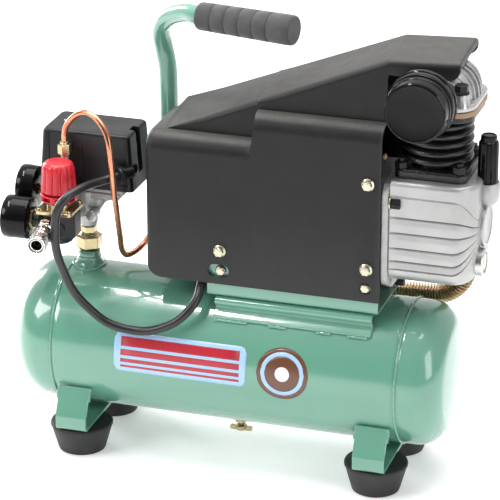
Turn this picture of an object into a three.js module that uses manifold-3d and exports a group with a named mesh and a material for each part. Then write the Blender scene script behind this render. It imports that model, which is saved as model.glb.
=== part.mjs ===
// Portable oil-lubricated "hotdog" air compressor: one horizontal tank on four rubber feet, with a
// direct-drive motor and single-cylinder pump on top of it under a moulded shroud.
// Millimetres, +Z up, +X along the tank from the air outlet end to the pump end, -Y to the front.
// Everything is laid out from the middle of the tank at floor level, and the finished group is
// shifted so that its origin is the middle of its footprint.
import * as THREE from 'three';
import { mergeVertices } from 'three/addons/utils/BufferGeometryUtils.js';
import Module from 'manifold-3d';

const wasm = await Module();
wasm.setup();

// ---------------------------------------------------------------- driving dimensions
const GAP = 0.3; // between pieces that touch

const TANK_R = 74;
const TANK_WALL = 2.5;
const TANK_Z = 112; // height of the tank's axis
const SEAM_X = 181; // half length of the rolled cylinder
const HEAD_DEPTH = 48;
const HEAD_CORNER_R = 34;
const TANK_TOP = TANK_Z + TANK_R;

const FOOT_X = 158;
const FOOT_Y = 48.5;
const FOOT_TOP_R = 32.5;
const FOOT_BOTTOM_R = 24.7;
const FOOT_HEIGHT = 30.3;
const STRAP_WIDTH = 33;
const STRAP_THICKNESS = 3;
const STRAP_HALF_SPAN = 80;

const TRAY_X0 = -21.4;
const TRAY_X1 = 156;
const TRAY_Z = TANK_TOP + 0.5; // underside of the motor tray's floor
const TRAY_SHEET = 2.4;
const TRAY_HALF_WIDTH = 45.6;
const TRAY_FLANGE = 42;

const SHROUD_WALL = 3;
const SHROUD_Z = 202;
const SHROUD_X0 = -85;
const SHROUD_STEP_X = 26; // where the high block starts
const SHROUD_X1 = 158;
const SHROUD_HALF_WIDTH = 50;
const LOW_BLOCK_TOP = 355;
const HIGH_BLOCK_TOP = 385;
const BLOCK_EDGE_R = 18;
const DUCT_Y0 = -32;
const DUCT_Y1 = 44;
const ROOF_START_X = -62;
const ROOF_BEND = [158, 448];
const ROOF_END = [229, 451.5];
const SKIRT_Z = 433;

const AXIS_Z = 280; // motor and crankshaft axis
const SHAFT_R = 8.5;
const MOTOR_HALF = 46;
const STATOR_X0 = 55;
const STATOR_X1 = 130;
const BELL_X0 = 36;
const BELL_X1 = 158.2;

const PUMP_X = 202; // cylinder axis
const CASE_X0 = 158.6;
const CASE_X1 = 250;
const CASE_HALF_WIDTH = 47;
const CASE_BOTTOM = 224;
const CASE_TOP = 330.5;
const CRANK_THROW = 11; // half the stroke
const ROD_LENGTH = 68;
const BORE_R = 21;
const PISTON_R = 20.5;
const FIN_R = 35;
const CYLINDER_TOP = 398.5;
const VALVE_PLATE_TOP = 404.5;
const HEAD_TOP = 446;
const HEAD_HALF = 42;
const HEAD_PORT_Z = 419;

const FILTER = [199, 416.5]; // x and z of the air filter's axis
const BREATHER_X = 252;
const BREATHER_Z = 324; // top of the boss that the filler cap stands on

const PORT_X = -164; // tank outlet bung and the switch pipework above it
const SWITCH_X0 = -206;
const SWITCH_X1 = -113;
const SWITCH_Y0 = -17;
const SWITCH_Y1 = 41;
const SWITCH_Z0 = 276;
const SWITCH_TOP = 335;
const REGULATOR = [-176.3, -50]; // x and y of the regulator's upright axis
const GAUGE_R = 22;
const GAUGE_DEPTH = 19;
const GAUGE_X = -214; // back of the tank gauge's case
const OUTLET_GAUGE_BACK = 8; // the outlet gauge's case is this much deeper behind
const OUTLET_GAUGE = [REGULATOR[1], 249]; // y and z of the dial's centre
const TANK_GAUGE = [-8, 267];
const COUPLER_DIRECTION = new THREE.Vector3(0.14, -0.985, -0.08).normalize();

const HANDLE_TUBE_R = 9.5;
const CHECK_VALVE = [-22, 65, 170];
const FINNED_TUBE_R = 10.5;
const COPPER_R = 3;
const LEAD_R = 4.5;

// ---------------------------------------------------------------- finishes
function finish(color, roughness, metalness) {
  return { color, roughness, metalness };
}
const GREEN_PAINT = finish(0x76b298, 0.3, 0.1);
const SHROUD_PLASTIC = finish(0x3c3c3d, 0.65, 0);
const BLACK_PLASTIC = finish(0x1c1c1e, 0.45, 0);
const BLACK_RUBBER = finish(0x141415, 0.7, 0);
const FOAM = finish(0x26241f, 0.95, 0);
const RED_PLASTIC = finish(0xc81e28, 0.4, 0);
const CAST_ALUMINIUM = finish(0xc6c7c8, 0.5, 0.8);
const BLACK_IRON = finish(0x1e1e1e, 0.5, 0.4);
const STEEL = finish(0x9a9b9d, 0.35, 0.9);
const CHROME = finish(0xdcdcdc, 0.12, 1);
const BRASS = finish(0xc9a860, 0.3, 0.9);
const COPPER = finish(0xbe6e4b, 0.3, 0.9);
const GASKET = finish(0xa67c5a, 0.8, 0);
const GLASS = finish(0xd8e0e0, 0.1, 0);
const FILTER_FOAM = finish(0x3f4446, 0.95, 0);

// ---------------------------------------------------------------- geometry helpers
const assembly = new THREE.Group();
const X = new THREE.Vector3(1, 0, 0);
const Y = new THREE.Vector3(0, 1, 0);
const Z = new THREE.Vector3(0, 0, 1);
const TAU = 2 * Math.PI;

function at(x, y, z) {
  return new THREE.Vector3(x, y, z);
}

// Welds equal points, drops triangles that have no area and turns the faces outwards.
function closed(geometry) {
  const bare = geometry.clone();
  for (const name of Object.keys(bare.attributes)) {
    if (name !== 'position') bare.deleteAttribute(name);
  }
  const welded = mergeVertices(bare, 1e-4);
  const position = welded.getAttribute('position');
  const kept = [];
  let volume = 0;
  const a = new THREE.Vector3();
  const b = new THREE.Vector3();
  const c = new THREE.Vector3();
  for (let i = 0; i < welded.index.count; i += 3) {
    const [p, q, r] = [0, 1, 2].map((k) => welded.index.getX(i + k));
    if (p === q || q === r || r === p) continue;
    a.fromBufferAttribute(position, p);
    b.fromBufferAttribute(position, q);
    c.fromBufferAttribute(position, r);
    volume += a.dot(b.cross(c));
    kept.push(p, q, r);
  }
  if (volume < 0) kept.reverse();
  welded.setIndex(kept);
  return welded;
}

function solid(geometry) {
  const mesh = closed(geometry);
  return new wasm.Manifold(
    new wasm.Mesh({
      numProp: 3,
      vertProperties: Float32Array.from(mesh.getAttribute('position').array),
      triVerts: Uint32Array.from(mesh.index.array),
    }),
  );
}

function surface(manifold) {
  const mesh = manifold.getMesh();
  const geometry = new THREE.BufferGeometry();
  geometry.setAttribute('position', new THREE.BufferAttribute(mesh.vertProperties, 3));
  geometry.setIndex(new THREE.BufferAttribute(mesh.triVerts, 1));
  return geometry;
}

function joined(geometries) {
  return surface(geometries.map(solid).reduce((sum, next) => sum.add(next)));
}

function cut(geometry, tools) {
  return surface(tools.map(solid).reduce((sum, tool) => sum.subtract(tool), solid(geometry)));
}

function common(geometry, other) {
  return surface(solid(geometry).intersect(solid(other)));
}

function box(x0, x1, y0, y1, z0, z1) {
  const geometry = new THREE.BoxGeometry(x1 - x0, y1 - y0, z1 - z0);
  return geometry.translate((x0 + x1) / 2, (y0 + y1) / 2, (z0 + z1) / 2);
}

// A profile of [radius, distance along the axis] turned about the axis through origin.
function turned(profile, origin, axis, sides = 20) {
  const points = profile.map(([r, h]) => new THREE.Vector2(r, h));
  const geometry = new THREE.LatheGeometry(points, sides);
  geometry.applyQuaternion(new THREE.Quaternion().setFromUnitVectors(Y, axis));
  return geometry.translate(origin.x, origin.y, origin.z);
}

function rod(radius, length, origin, axis, sides = 16) {
  return turned([[0, 0], [radius, 0], [radius, length], [0, length]], origin, axis, sides);
}

function ring(outer, inner, length, origin, axis, sides = 20) {
  const profile = [[inner, 0], [outer, 0], [outer, length], [inner, length], [inner, 0]];
  return turned(profile, origin, axis, sides);
}

function hexagon(acrossFlats, length, origin, axis) {
  return rod(acrossFlats / Math.sqrt(3), length, origin, axis, 6);
}

function outline(points) {
  return new THREE.Shape(points.map(([u, v]) => new THREE.Vector2(u, v)));
}

function roundedRectangle(x0, x1, y0, y1, r) {
  const shape = new THREE.Shape();
  shape.absarc(x1 - r, y0 + r, r, -TAU / 4, 0);
  shape.absarc(x1 - r, y1 - r, r, 0, TAU / 4);
  shape.absarc(x0 + r, y1 - r, r, TAU / 4, TAU / 2);
  shape.absarc(x0 + r, y0 + r, r, TAU / 2, (3 * TAU) / 4);
  return shape;
}

// Flat shapes pushed along one row axis. The shape's own axes are X and Y for alongZ, Y and Z
// for alongX, and X and Z for alongY.
function alongZ(shape, z0, z1, curveSegments = 3) {
  const options = { depth: z1 - z0, bevelEnabled: false, curveSegments };
  return new THREE.ExtrudeGeometry(shape, options).translate(0, 0, z0);
}
function alongX(shape, x0, x1, curveSegments = 3) {
  const turn = new THREE.Matrix4().makeBasis(Y, Z, X);
  return alongZ(shape, x0, x1, curveSegments).applyMatrix4(turn);
}
function alongY(shape, y0, y1, curveSegments = 3) {
  const turn = new THREE.Matrix4().makeBasis(X, Z, Y);
  return alongZ(shape, y0, y1, curveSegments).applyMatrix4(turn);
}

// The section of a bent sheet: a centre line thickened to both sides.
function sheetSection(centre, thickness) {
  const left = [];
  const right = [];
  centre.forEach(([u, v], i) => {
    const [u0, v0] = centre[Math.max(i - 1, 0)];
    const [u1, v1] = centre[Math.min(i + 1, centre.length - 1)];
    const normal = new THREE.Vector2(v0 - v1, u1 - u0).normalize();
    left.push([u + (normal.x * thickness) / 2, v + (normal.y * thickness) / 2]);
    right.push([u - (normal.x * thickness) / 2, v - (normal.y * thickness) / 2]);
  });
  return outline([...left, ...right.reverse()]);
}

function tube(points, radius, steps, sides) {
  const curve = new THREE.CatmullRomCurve3(points.map((p) => at(...p)), false, 'centripetal');
  const section = new THREE.Shape();
  for (let i = 0; i < sides; i += 1) {
    const angle = (i * TAU) / sides;
    const corner = [radius * Math.cos(angle), radius * Math.sin(angle)];
    if (i === 0) section.moveTo(...corner);
    else section.lineTo(...corner);
  }
  return new THREE.ExtrudeGeometry(section, { steps, bevelEnabled: false, extrudePath: curve });
}

function add(name, geometry, look) {
  const mesh = new THREE.Mesh(closed(geometry), new THREE.MeshStandardMaterial(look));
  mesh.name = name;
  mesh.geometry.computeVertexNormals();
  assembly.add(mesh);
}

// ---------------------------------------------------------------- tank
const TANK_SIDES = 28;

function tankCylinder() {
  const shell = ring(TANK_R, TANK_R - TANK_WALL, 2 * SEAM_X, at(-SEAM_X, 0, TANK_Z), X, TANK_SIDES);
  const outletBung = turned(
    [[0, 0], [11.5, 0], [11.5, 6], [10.5, 9], [10.5, 18], [0, 18]], at(PORT_X, 0, TANK_TOP - 2), Z, 16,
  );
  const [vx, vy, vz] = CHECK_VALVE;
  const outwards = at(0, vy, vz - TANK_Z).normalize();
  const checkBung = rod(9, 6.5, at(vx, 0, TANK_Z).addScaledVector(outwards, TANK_R - 3), outwards);
  const drainBung = rod(9, 6, at(0, 0, TANK_Z - TANK_R + 2.5), at(0, 0, -1));
  const openings = [
    rod(7, 60, at(PORT_X, 0, TANK_TOP - 30), Z, 12),
    rod(5, 60, at(vx, 0, TANK_Z).addScaledVector(outwards, TANK_R - 30), outwards, 12),
    rod(4, 60, at(0, 0, TANK_Z - TANK_R + 30), at(0, 0, -1), 12),
  ];
  return cut(joined([shell, outletBung, checkBung, drainBung]), openings);
}
add('tank_cylinder', tankCylinder(), GREEN_PAINT);

// A pressed head: a short joggled rim, a rounded shoulder and a shallow dome.
function tankHead(axis) {
  const shell = (inset) => {
    const r = TANK_R - inset;
    const corner = HEAD_CORNER_R - inset;
    const depth = HEAD_DEPTH - inset;
    const shoulder = 12;
    const points = [[r, 0], [r, 4]];
    for (let i = 1; i <= 4; i += 1) {
      const angle = ((i / 4) * TAU) / 5.2;
      points.push([r - corner + corner * Math.cos(angle), shoulder + corner * Math.sin(angle)]);
    }
    const [edge, height] = points[points.length - 1];
    for (const share of [0.5, 0]) {
      points.push([edge * share, height + (depth - height) * (1 - share ** 2)]);
    }
    return points;
  };
  const profile = [...shell(0), ...shell(TANK_WALL).reverse()];
  profile.push(profile[0]);
  return turned(profile, at(axis.x * (SEAM_X + GAP), 0, TANK_Z), axis, TANK_SIDES);
}
add('tank_head_left', tankHead(at(-1, 0, 0)), GREEN_PAINT);
add('tank_head_right', tankHead(X), GREEN_PAINT);

function footStrap() {
  const low = FOOT_HEIGHT + GAP + STRAP_THICKNESS / 2;
  const span = STRAP_HALF_SPAN;
  const meet = TANK_R + STRAP_THICKNESS / 2 + GAP;
  const angle = 0.508;
  const half = [
    [span - 3, low], [span, low + 3], [span, low + 14],
    [meet * Math.cos(angle), TANK_Z - meet * Math.sin(angle)],
  ];
  const centre = [...half.map(([u, v]) => [-u, v]).reverse(), ...half];
  return alongX(sheetSection(centre, STRAP_THICKNESS), -STRAP_WIDTH / 2, STRAP_WIDTH / 2);
}
function rubberFoot(x, y) {
  const profile = [
    [0, 0], [FOOT_BOTTOM_R, 0], [FOOT_TOP_R - 1, FOOT_HEIGHT - 5], [FOOT_TOP_R, FOOT_HEIGHT - 3],
    [FOOT_TOP_R - 1.5, FOOT_HEIGHT], [0, FOOT_HEIGHT],
  ];
  return turned(profile, at(x, y, 0), Z, 24);
}
for (const [side, x] of [['left', -FOOT_X], ['right', FOOT_X]]) {
  add(`foot_strap_${side}`, footStrap().translate(x, 0, 0), GREEN_PAINT);
  add(`rubber_foot_front_${side}`, rubberFoot(x, -FOOT_Y), BLACK_RUBBER);
  add(`rubber_foot_rear_${side}`, rubberFoot(x, FOOT_Y), BLACK_RUBBER);
}

// Drain valve under the middle of the tank, with a winged knob that screws up and down.
const DRAIN_Z = TANK_Z - TANK_R - 3.5;
add(
  'drain_valve_body',
  turned([[0, 0], [6, 0], [6, 5], [3.6, 6], [3.6, 9], [0, 9]], at(0, 0, DRAIN_Z - GAP), at(0, 0, -1), 16),
  BRASS,
);
add(
  'drain_valve_knob',
  joined([
    rod(6, 5, at(0, 0, DRAIN_Z - 2 * GAP - 9), at(0, 0, -1), 16),
    box(-12, 12, -1.5, 1.5, DRAIN_Z - 2 * GAP - 15, DRAIN_Z - 2 * GAP - 10),
  ]),
  BRASS,
);

// ---------------------------------------------------------------- saddle rails and motor tray
// Each rail stands on a flange that follows the tank, curves in and holds the tray's edge.
function saddleRail(side) {
  const sheet = 2.2;
  const seat = TANK_R + sheet / 2 + GAP;
  const centre = [];
  for (const angle of [0.79, 0.88, 0.96]) {
    centre.push([side * seat * Math.cos(angle), TANK_Z + seat * Math.sin(angle)]);
  }
  const top = TRAY_Z - sheet / 2 - GAP;
  centre.push([side * 40.2, top - 6], [side * 38.8, top - 2.5], [side * 36, top]);
  return alongX(sheetSection(centre, sheet), TRAY_X0 + 9, TRAY_X1 - 5);
}
add('saddle_rail_front', saddleRail(-1), GREEN_PAINT);
add('saddle_rail_rear', saddleRail(1), GREEN_PAINT);

function motorTray() {
  const w = TRAY_HALF_WIDTH;
  const t = TRAY_SHEET;
  const section = outline([
    [-w, TRAY_Z], [w, TRAY_Z], [w, TRAY_Z + TRAY_FLANGE], [w - t, TRAY_Z + TRAY_FLANGE],
    [w - t, TRAY_Z + t], [t - w, TRAY_Z + t], [t - w, TRAY_Z + TRAY_FLANGE], [-w, TRAY_Z + TRAY_FLANGE],
  ]);
  return alongX(section, TRAY_X0, TRAY_X1);
}
add('motor_tray', motorTray(), GREEN_PAINT);
const TRAY_TOP = TRAY_Z + TRAY_SHEET;

// ---------------------------------------------------------------- carrying handle
// One bent tube: welded on the tank's rear shoulder, up behind the shroud, over and forward.
const GRIP_LEFT = [-46, 10.4, 460.4];
const GRIP_CLEARANCE = 0.9;
const GRIP_RIGHT = [57.5, -8, 460.4];
add(
  'handle_tube',
  tube(
    [
      [-97, 62, 165], [-97, 62, 260], [-97, 62, 351], [-98, 62, 386], [-101.5, 60.5, 408],
      [-102.5, 56.5, 422], [-97.5, 50, 436], [-86, 41, 447], [-64, 24, 457.5], GRIP_LEFT,
      [-20, 5.8, 460.4], [50, -6.7, 460.4],
    ],
    HANDLE_TUBE_R, 32, 10,
  ),
  GREEN_PAINT,
);
function handleGrip() {
  const start = at(...GRIP_LEFT);
  const axis = at(...GRIP_RIGHT).sub(start).normalize();
  const length = start.distanceTo(at(...GRIP_RIGHT));
  const inner = HANDLE_TUBE_R + GRIP_CLEARANCE;
  const profile = [
    [inner, 3], [13, 3], [14, 5], [14.4, length / 2], [15.2, length - 4], [13.5, length],
    [0, length], [0, length - 3], [inner, length - 3], [inner, 3],
  ];
  return turned(profile, start, axis, 20);
}
add('handle_grip', handleGrip(), FOAM);

// ---------------------------------------------------------------- shroud
// A low block over the fan, a higher block over the capacitor and, set back between them, a duct
// whose roof climbs to the pump's head.
function shroudBlock(x0, x1, top, halfWidth, edge, z0) {
  const section = roundedRectangle(-halfWidth, halfWidth, z0 - 40, top, edge);
  return common(alongX(section, x0, x1), box(x0 - 1, x1 + 1, -100, 100, z0, top + 1));
}
function shroudDuct(y0, y1, drop, x0, x1) {
  const [bendX, bendZ] = ROOF_BEND;
  const [endX, endZ] = ROOF_END;
  const profile = outline([
    [x0, 300], [SHROUD_X1 - 20 + drop, 300], [SHROUD_X1 - 20 + drop, SKIRT_Z], [x1, SKIRT_Z],
    [endX + (x1 - endX), endZ - drop], [bendX, bendZ - drop], [ROOF_START_X, 360 - drop], [x0, 357 - drop],
  ]);
  return alongY(profile, y0, y1);
}
function shroud() {
  const t = SHROUD_WALL;
  const endX = ROOF_END[0];
  const w = SHROUD_HALF_WIDTH;
  const outer = joined([
    shroudBlock(SHROUD_X0, SHROUD_X1, LOW_BLOCK_TOP, w, BLOCK_EDGE_R, SHROUD_Z),
    shroudBlock(SHROUD_STEP_X, SHROUD_X1, HIGH_BLOCK_TOP, w, BLOCK_EDGE_R, SHROUD_Z),
    shroudDuct(DUCT_Y0, DUCT_Y1, 0, -72, endX),
  ]);
  const far = endX + 20;
  const inside = [
    shroudBlock(SHROUD_X0 + t, far, LOW_BLOCK_TOP - t, w - t, BLOCK_EDGE_R - t, SHROUD_Z - 20),
    shroudBlock(SHROUD_STEP_X + t, far, HIGH_BLOCK_TOP - t, w - t, BLOCK_EDGE_R - t, SHROUD_Z - 20),
    shroudDuct(DUCT_Y0 + t, DUCT_Y1 - t, t, -69, far),
    box(SHROUD_X1, far, DUCT_Y0 + t, DUCT_Y1 - t, 300, SKIRT_Z + 1),
  ];
  const slot = [-8, 216];
  const hole = [144, 216];
  const windows = [
    alongY(roundedRectangle(slot[0] - 11, slot[0] + 11, slot[1] - 7, slot[1] + 7, 6.9), -60, 60),
    rod(6, 120, at(hole[0], -60, hole[1]), Y, 12),
  ];
  for (let i = 0; i < 7; i += 1) {
    const z = 240 + 14 * i;
    windows.push(box(SHROUD_X0 - 5, SHROUD_X0 + 5, -34, 34, z, z + 6));
  }
  return cut(outer, [...inside, ...windows]);
}
add('shroud', shroud(), SHROUD_PLASTIC);

// ---------------------------------------------------------------- motor
function motorSquare(half, corner) {
  return roundedRectangle(-half, half, AXIS_Z - half, AXIS_Z + half, corner);
}
add(
  'motor_stator',
  cut(alongX(motorSquare(MOTOR_HALF, 9), STATOR_X0, STATOR_X1, 3), [
    rod(27, 200, at(0, 0, AXIS_Z), X, 20),
  ]),
  STEEL,
);
function endBell(x0, x1, openX0, openX1) {
  const feetX0 = (x0 + x1) / 2 - 6;
  const body = joined([
    alongX(motorSquare(MOTOR_HALF - 1, 14), x0, x1, 3),
    box(feetX0, feetX0 + 12, -38, -22, TRAY_TOP + GAP, AXIS_Z - 40),
    box(feetX0, feetX0 + 12, 22, 38, TRAY_TOP + GAP, AXIS_Z - 40),
  ]);
  const cavity = alongX(motorSquare(MOTOR_HALF - 6, 10), openX0, openX1, 3);
  return cut(body, [cavity, rod(SHAFT_R + GAP, 300, at(-60, 0, AXIS_Z), X, 16)]);
}
add(
  'motor_fan_end_bell',
  endBell(BELL_X0, STATOR_X0 - GAP, BELL_X0 + 5, STATOR_X0),
  CAST_ALUMINIUM,
);
add(
  'motor_pump_end_bell',
  endBell(STATOR_X1 + GAP, BELL_X1, STATOR_X1, BELL_X1 - 6),
  CAST_ALUMINIUM,
);
add(
  'rotor_shaft',
  turned(
    [
      [0, -26], [SHAFT_R, -26], [SHAFT_R, 58], [26, 58], [26, 127], [SHAFT_R, 127],
      [SHAFT_R, 178], [0, 178],
    ],
    at(0, 0, AXIS_Z), X, 16,
  ),
  STEEL,
);
function coolingFan() {
  const blades = [];
  for (let i = 0; i < 7; i += 1) {
    const blade = box(-9, 9, -1.2, 1.2, 14, 42);
    blade.rotateZ(0.5).rotateX((i * TAU) / 7);
    blades.push(blade);
  }
  const fan = joined([rod(15, 20, at(-10, 0, 0), X, 16), ...blades]).translate(-12, 0, AXIS_Z);
  return cut(fan, [rod(SHAFT_R + GAP, 80, at(-52, 0, AXIS_Z), X, 16)]);
}
add('cooling_fan', coolingFan(), BLACK_PLASTIC);
add('run_capacitor', rod(19, 78, at(52, -22, 352), X, 20), BLACK_PLASTIC);

// ---------------------------------------------------------------- pump: crankcase and running gear
function crankcase() {
  const w = CASE_HALF_WIDTH;
  const side = roundedRectangle(-w, w, CASE_BOTTOM, CASE_TOP, 16);
  const plan = roundedRectangle(CASE_X0 - 30, CASE_X1, -w, w, 26);
  const body = common(alongX(side, CASE_X0 + 8, CASE_X1), alongZ(plan, 200, 340, 4));
  const flange = alongX(roundedRectangle(-w - 1, w + 1, CASE_BOTTOM - 6, CASE_TOP - 4, 12), CASE_X0, CASE_X0 + 8);
  const parts = [body, flange];
  for (let i = 0; i < 4; i += 1) {
    const z = 243 + 16 * i;
    const rib = roundedRectangle(CASE_X0 + 4, CASE_X1 - 3, -w - 1.8, w + 1.8, 27);
    parts.push(alongZ(rib, z, z + 4, 4));
  }
  parts.push(rod(12.5, 15, at(BREATHER_X, 0, BREATHER_Z - GAP - 15), Z));
  const hollow = common(
    alongX(roundedRectangle(-w + 5, w - 5, CASE_BOTTOM + 5, CASE_TOP - 5, 12), CASE_X0 + 13, CASE_X1 - 5, 2),
    alongZ(roundedRectangle(CASE_X0 - 30, CASE_X1 - 5, 5 - w, w - 5, 22), 200, 340, 2),
  );
  return cut(joined(parts), [
    hollow,
    rod(17 + GAP, 30, at(CASE_X0 - 5, 0, AXIS_Z), X, 20),
    rod(18, 30, at(CASE_X1 - 15, 0, AXIS_Z), X, 16),
    rod(BORE_R + 2.5, 30, at(PUMP_X, 0, CASE_TOP - 20), Z, 20),
    rod(6.2, 30, at(BREATHER_X, 0, 300), Z, 12),
    rod(11.5, 20, at(BREATHER_X, 0, BREATHER_Z - GAP), Z),
  ]);
}
add('crankcase', crankcase(), CAST_ALUMINIUM);
add(
  'crankcase_cover',
  turned([[0, 0], [22, 0], [22, 2.5], [19, 4.5], [0, 4.5]], at(CASE_X1 + GAP, 0, AXIS_Z), X, 24),
  CAST_ALUMINIUM,
);
add('main_bearing', ring(17, SHAFT_R + GAP, 11, at(CASE_X0 + 1, 0, AXIS_Z), X), STEEL);
add(
  'oil_sight_glass',
  turned([[0, 0], [14.2, 0], [14.2, 4], [12.5, 6], [0, 6]], at(CASE_X1 + GAP, -16, AXIS_Z - 35), X),
  GLASS,
);
add(
  'crankshaft',
  cut(
    joined([
      common(rod(25, 9, at(179, 0, AXIS_Z), X, 20), box(170, 200, -25, 25, AXIS_Z - 25, AXIS_Z + 19)),
      rod(6, 24, at(187, 0, AXIS_Z + CRANK_THROW), X, 16),
    ]),
    [rod(5, 8, at(178, 0, AXIS_Z), X, 12)],
  ),
  STEEL,
);
function connectingRod() {
  const eyeZ = AXIS_Z + CRANK_THROW + ROD_LENGTH;
  const pinZ = AXIS_Z + CRANK_THROW;
  const half = 4.5;
  const body = joined([
    rod(10, 2 * half, at(PUMP_X - half, 0, pinZ), X, 20),
    rod(6, 2 * half, at(PUMP_X - half, 0, eyeZ), X, 16),
    box(PUMP_X - 3, PUMP_X + 3, -4, 4, pinZ + 4, eyeZ - 3),
  ]);
  return cut(body, [
    rod(6.4, 30, at(PUMP_X - 15, 0, pinZ), X, 16),
    rod(3.5, 30, at(PUMP_X - 15, 0, eyeZ), X, 12),
  ]);
}
add('connecting_rod', connectingRod(), CAST_ALUMINIUM);
add(
  'piston',
  turned(
    [
      [0, CYLINDER_TOP - 1], [PISTON_R, CYLINDER_TOP - 1], [PISTON_R, CYLINDER_TOP - 46],
      [18, CYLINDER_TOP - 46], [18, CYLINDER_TOP - 7], [0, CYLINDER_TOP - 7],
    ],
    at(PUMP_X, 0, 0), Z, 24,
  ),
  CAST_ALUMINIUM,
);

// ---------------------------------------------------------------- pump: cylinder and head
function squareAt(half, corner) {
  return roundedRectangle(PUMP_X - half, PUMP_X + half, -half, half, corner);
}
function pumpCylinder() {
  const base = CASE_TOP + GAP;
  const profile = [[26, base], [26, base + 12]];
  for (let i = 0; i < 5; i += 1) {
    const z = base + 13 + 9 * i;
    profile.push([27, z], [FIN_R, z + 1.5], [FIN_R, z + 5]);
  }
  profile.push([26, CYLINDER_TOP], [20, CYLINDER_TOP], [20, base], [26, base]);
  const body = joined([
    turned(profile, at(PUMP_X, 0, 0), Z, 24),
    alongZ(squareAt(36, 9), base, base + 7),
    alongZ(squareAt(40, 19), CYLINDER_TOP - 7, CYLINDER_TOP),
  ]);
  return cut(body, [rod(BORE_R, 120, at(PUMP_X, 0, CASE_TOP - 20), Z, 24)]);
}
add('pump_cylinder', pumpCylinder(), BLACK_IRON);
add('valve_plate', alongZ(squareAt(42, 20), CYLINDER_TOP + GAP, VALVE_PLATE_TOP), GASKET);
function cylinderHead() {
  const base = VALVE_PLATE_TOP + GAP;
  const parts = [
    alongZ(squareAt(HEAD_HALF, 20), base, base + 6),
    alongZ(squareAt(33, 14), base, HEAD_TOP - 14),
  ];
  const rise = HEAD_TOP - base - 4;
  for (let i = 0; i < 7; i += 1) {
    const y = -27 + 10 * i;
    const reach = 39 - 0.008 * (y - 3) ** 2;
    const fin = new THREE.Shape();
    for (let k = 0; k <= 8; k += 1) {
      const angle = ((k / 8) * TAU) / 2;
      const u = PUMP_X + reach * Math.sign(Math.cos(angle)) * Math.abs(Math.cos(angle)) ** 0.75;
      const v = base + 4 + rise * Math.sin(angle) ** 0.8;
      if (k === 0) fin.moveTo(u, v);
      else fin.lineTo(u, v);
    }
    parts.push(alongY(fin, y - 1.6, y + 1.6));
  }
  parts.push(rod(8, 14, at(FILTER[0], -42, FILTER[1]), Y));
  parts.push(rod(9, 14, at(PUMP_X, 42, HEAD_PORT_Z), at(0, -1, 0)));
  return joined(parts);
}
add('cylinder_head', cylinderHead(), CAST_ALUMINIUM);

// The filler cap pulls up out of the breather boss.
add(
  'breather_cap',
  turned(
    [[0, -8], [5.8, -8], [5.8, 0], [10.3, 0], [10.3, 42], [8, 43], [8, 48], [0, 48]],
    at(BREATHER_X, 0, BREATHER_Z), Z, 16,
  ),
  BLACK_PLASTIC,
);

// ---------------------------------------------------------------- air filter
function filterPoint(y) {
  return at(FILTER[0], y, FILTER[1]);
}
const FRONT = at(0, -1, 0);
add(
  'filter_housing',
  cut(joined([rod(33, 18, filterPoint(-52), FRONT, 28), rod(9, 12, filterPoint(-42.3), FRONT)]), [
    rod(30, 30, filterPoint(-54.5), FRONT, 28),
    rod(5.5, 40, filterPoint(-30), FRONT, 12),
  ]),
  BLACK_PLASTIC,
);
add(
  'filter_cover',
  turned(
    [
      [31.5, 0], [31.5, 5], [29.5, 6], [29.5, 16], [27.5, 18], [0, 18], [0, 16], [27, 16],
      [29.2, 0], [31.5, 0],
    ],
    filterPoint(-70.3), FRONT, 28,
  ),
  BLACK_PLASTIC,
);
add('filter_element', ring(25.5, 12, 27, filterPoint(-56), FRONT), FILTER_FOAM);

// ---------------------------------------------------------------- air lines on the tank's rear
add(
  'discharge_tube',
  tube(
    [
      [PUMP_X, 42.5, HEAD_PORT_Z], [PUMP_X, 49, HEAD_PORT_Z], [PUMP_X + 1, 58, 416],
      [206, 67, 403], [209, 69, 380], [211, 70, 330],
      [217, 70, 265], [221, 68, 215], [215, 66, 188], [199, 65, 173], [178, 65, 170],
      [100, 65, 170], [CHECK_VALVE[0] + 17.3, 65, 170],
    ],
    FINNED_TUBE_R, 30, 10,
  ),
  BRASS,
);
function checkValve() {
  const [x, y, z] = CHECK_VALVE;
  const outwards = at(0, y, z - TANK_Z).normalize();
  const seat = at(x, 0, TANK_Z).addScaledVector(outwards, TANK_R + 3.5 + GAP);
  return joined([rod(9.5, 34, at(x - 17, y, z), X), rod(7, 8, seat, outwards)]);
}
add('check_valve', checkValve(), BRASS);

// The unloader tube lets the head's pressure out through the switch when the motor stops. It arches
// over from the switch's valve, leans back down to the tank and goes round to the check valve.
const UNLOADER = [-178, -26.5];
add(
  'unloader_tube',
  tube(
    [
      [...UNLOADER, 327], [...UNLOADER, 335], [-175, -28, 344], [-168.5, -30, 353], [-160, -32.5, 360],
      [-150, -35.5, 363], [-141, -38.5, 361], [-132, -42, 354], [-126, -45, 346], [-122.6, -47.5, 337],
      [-120.8, -48, 318], [-120.2, -46, 303], [-120.8, -41, 286], [-122.3, -31, 264], [-126, -11, 224],
      [-127, -3, 206], [-124.5, 3, 198.5], [-118.8, 12, 199.3], [-113.6, 25, 203.5],
      [-114, 42, 205], [-114, 60, 201], [-109, 76, 193], [-95, 82, 185], [-75, 76, 177],
      [-58, 67, 171], [-48, 65, 170], [CHECK_VALVE[0] - 17.3, 65, 170],
    ],
    COPPER_R, 56, 6,
  ),
  COPPER,
);
add('unloader_nut', cut(hexagon(12.5, 13, at(...UNLOADER, 313), Z), [
  rod(COPPER_R + GAP, 30, at(...UNLOADER, 310), Z, 8),
]), BRASS);

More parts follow.
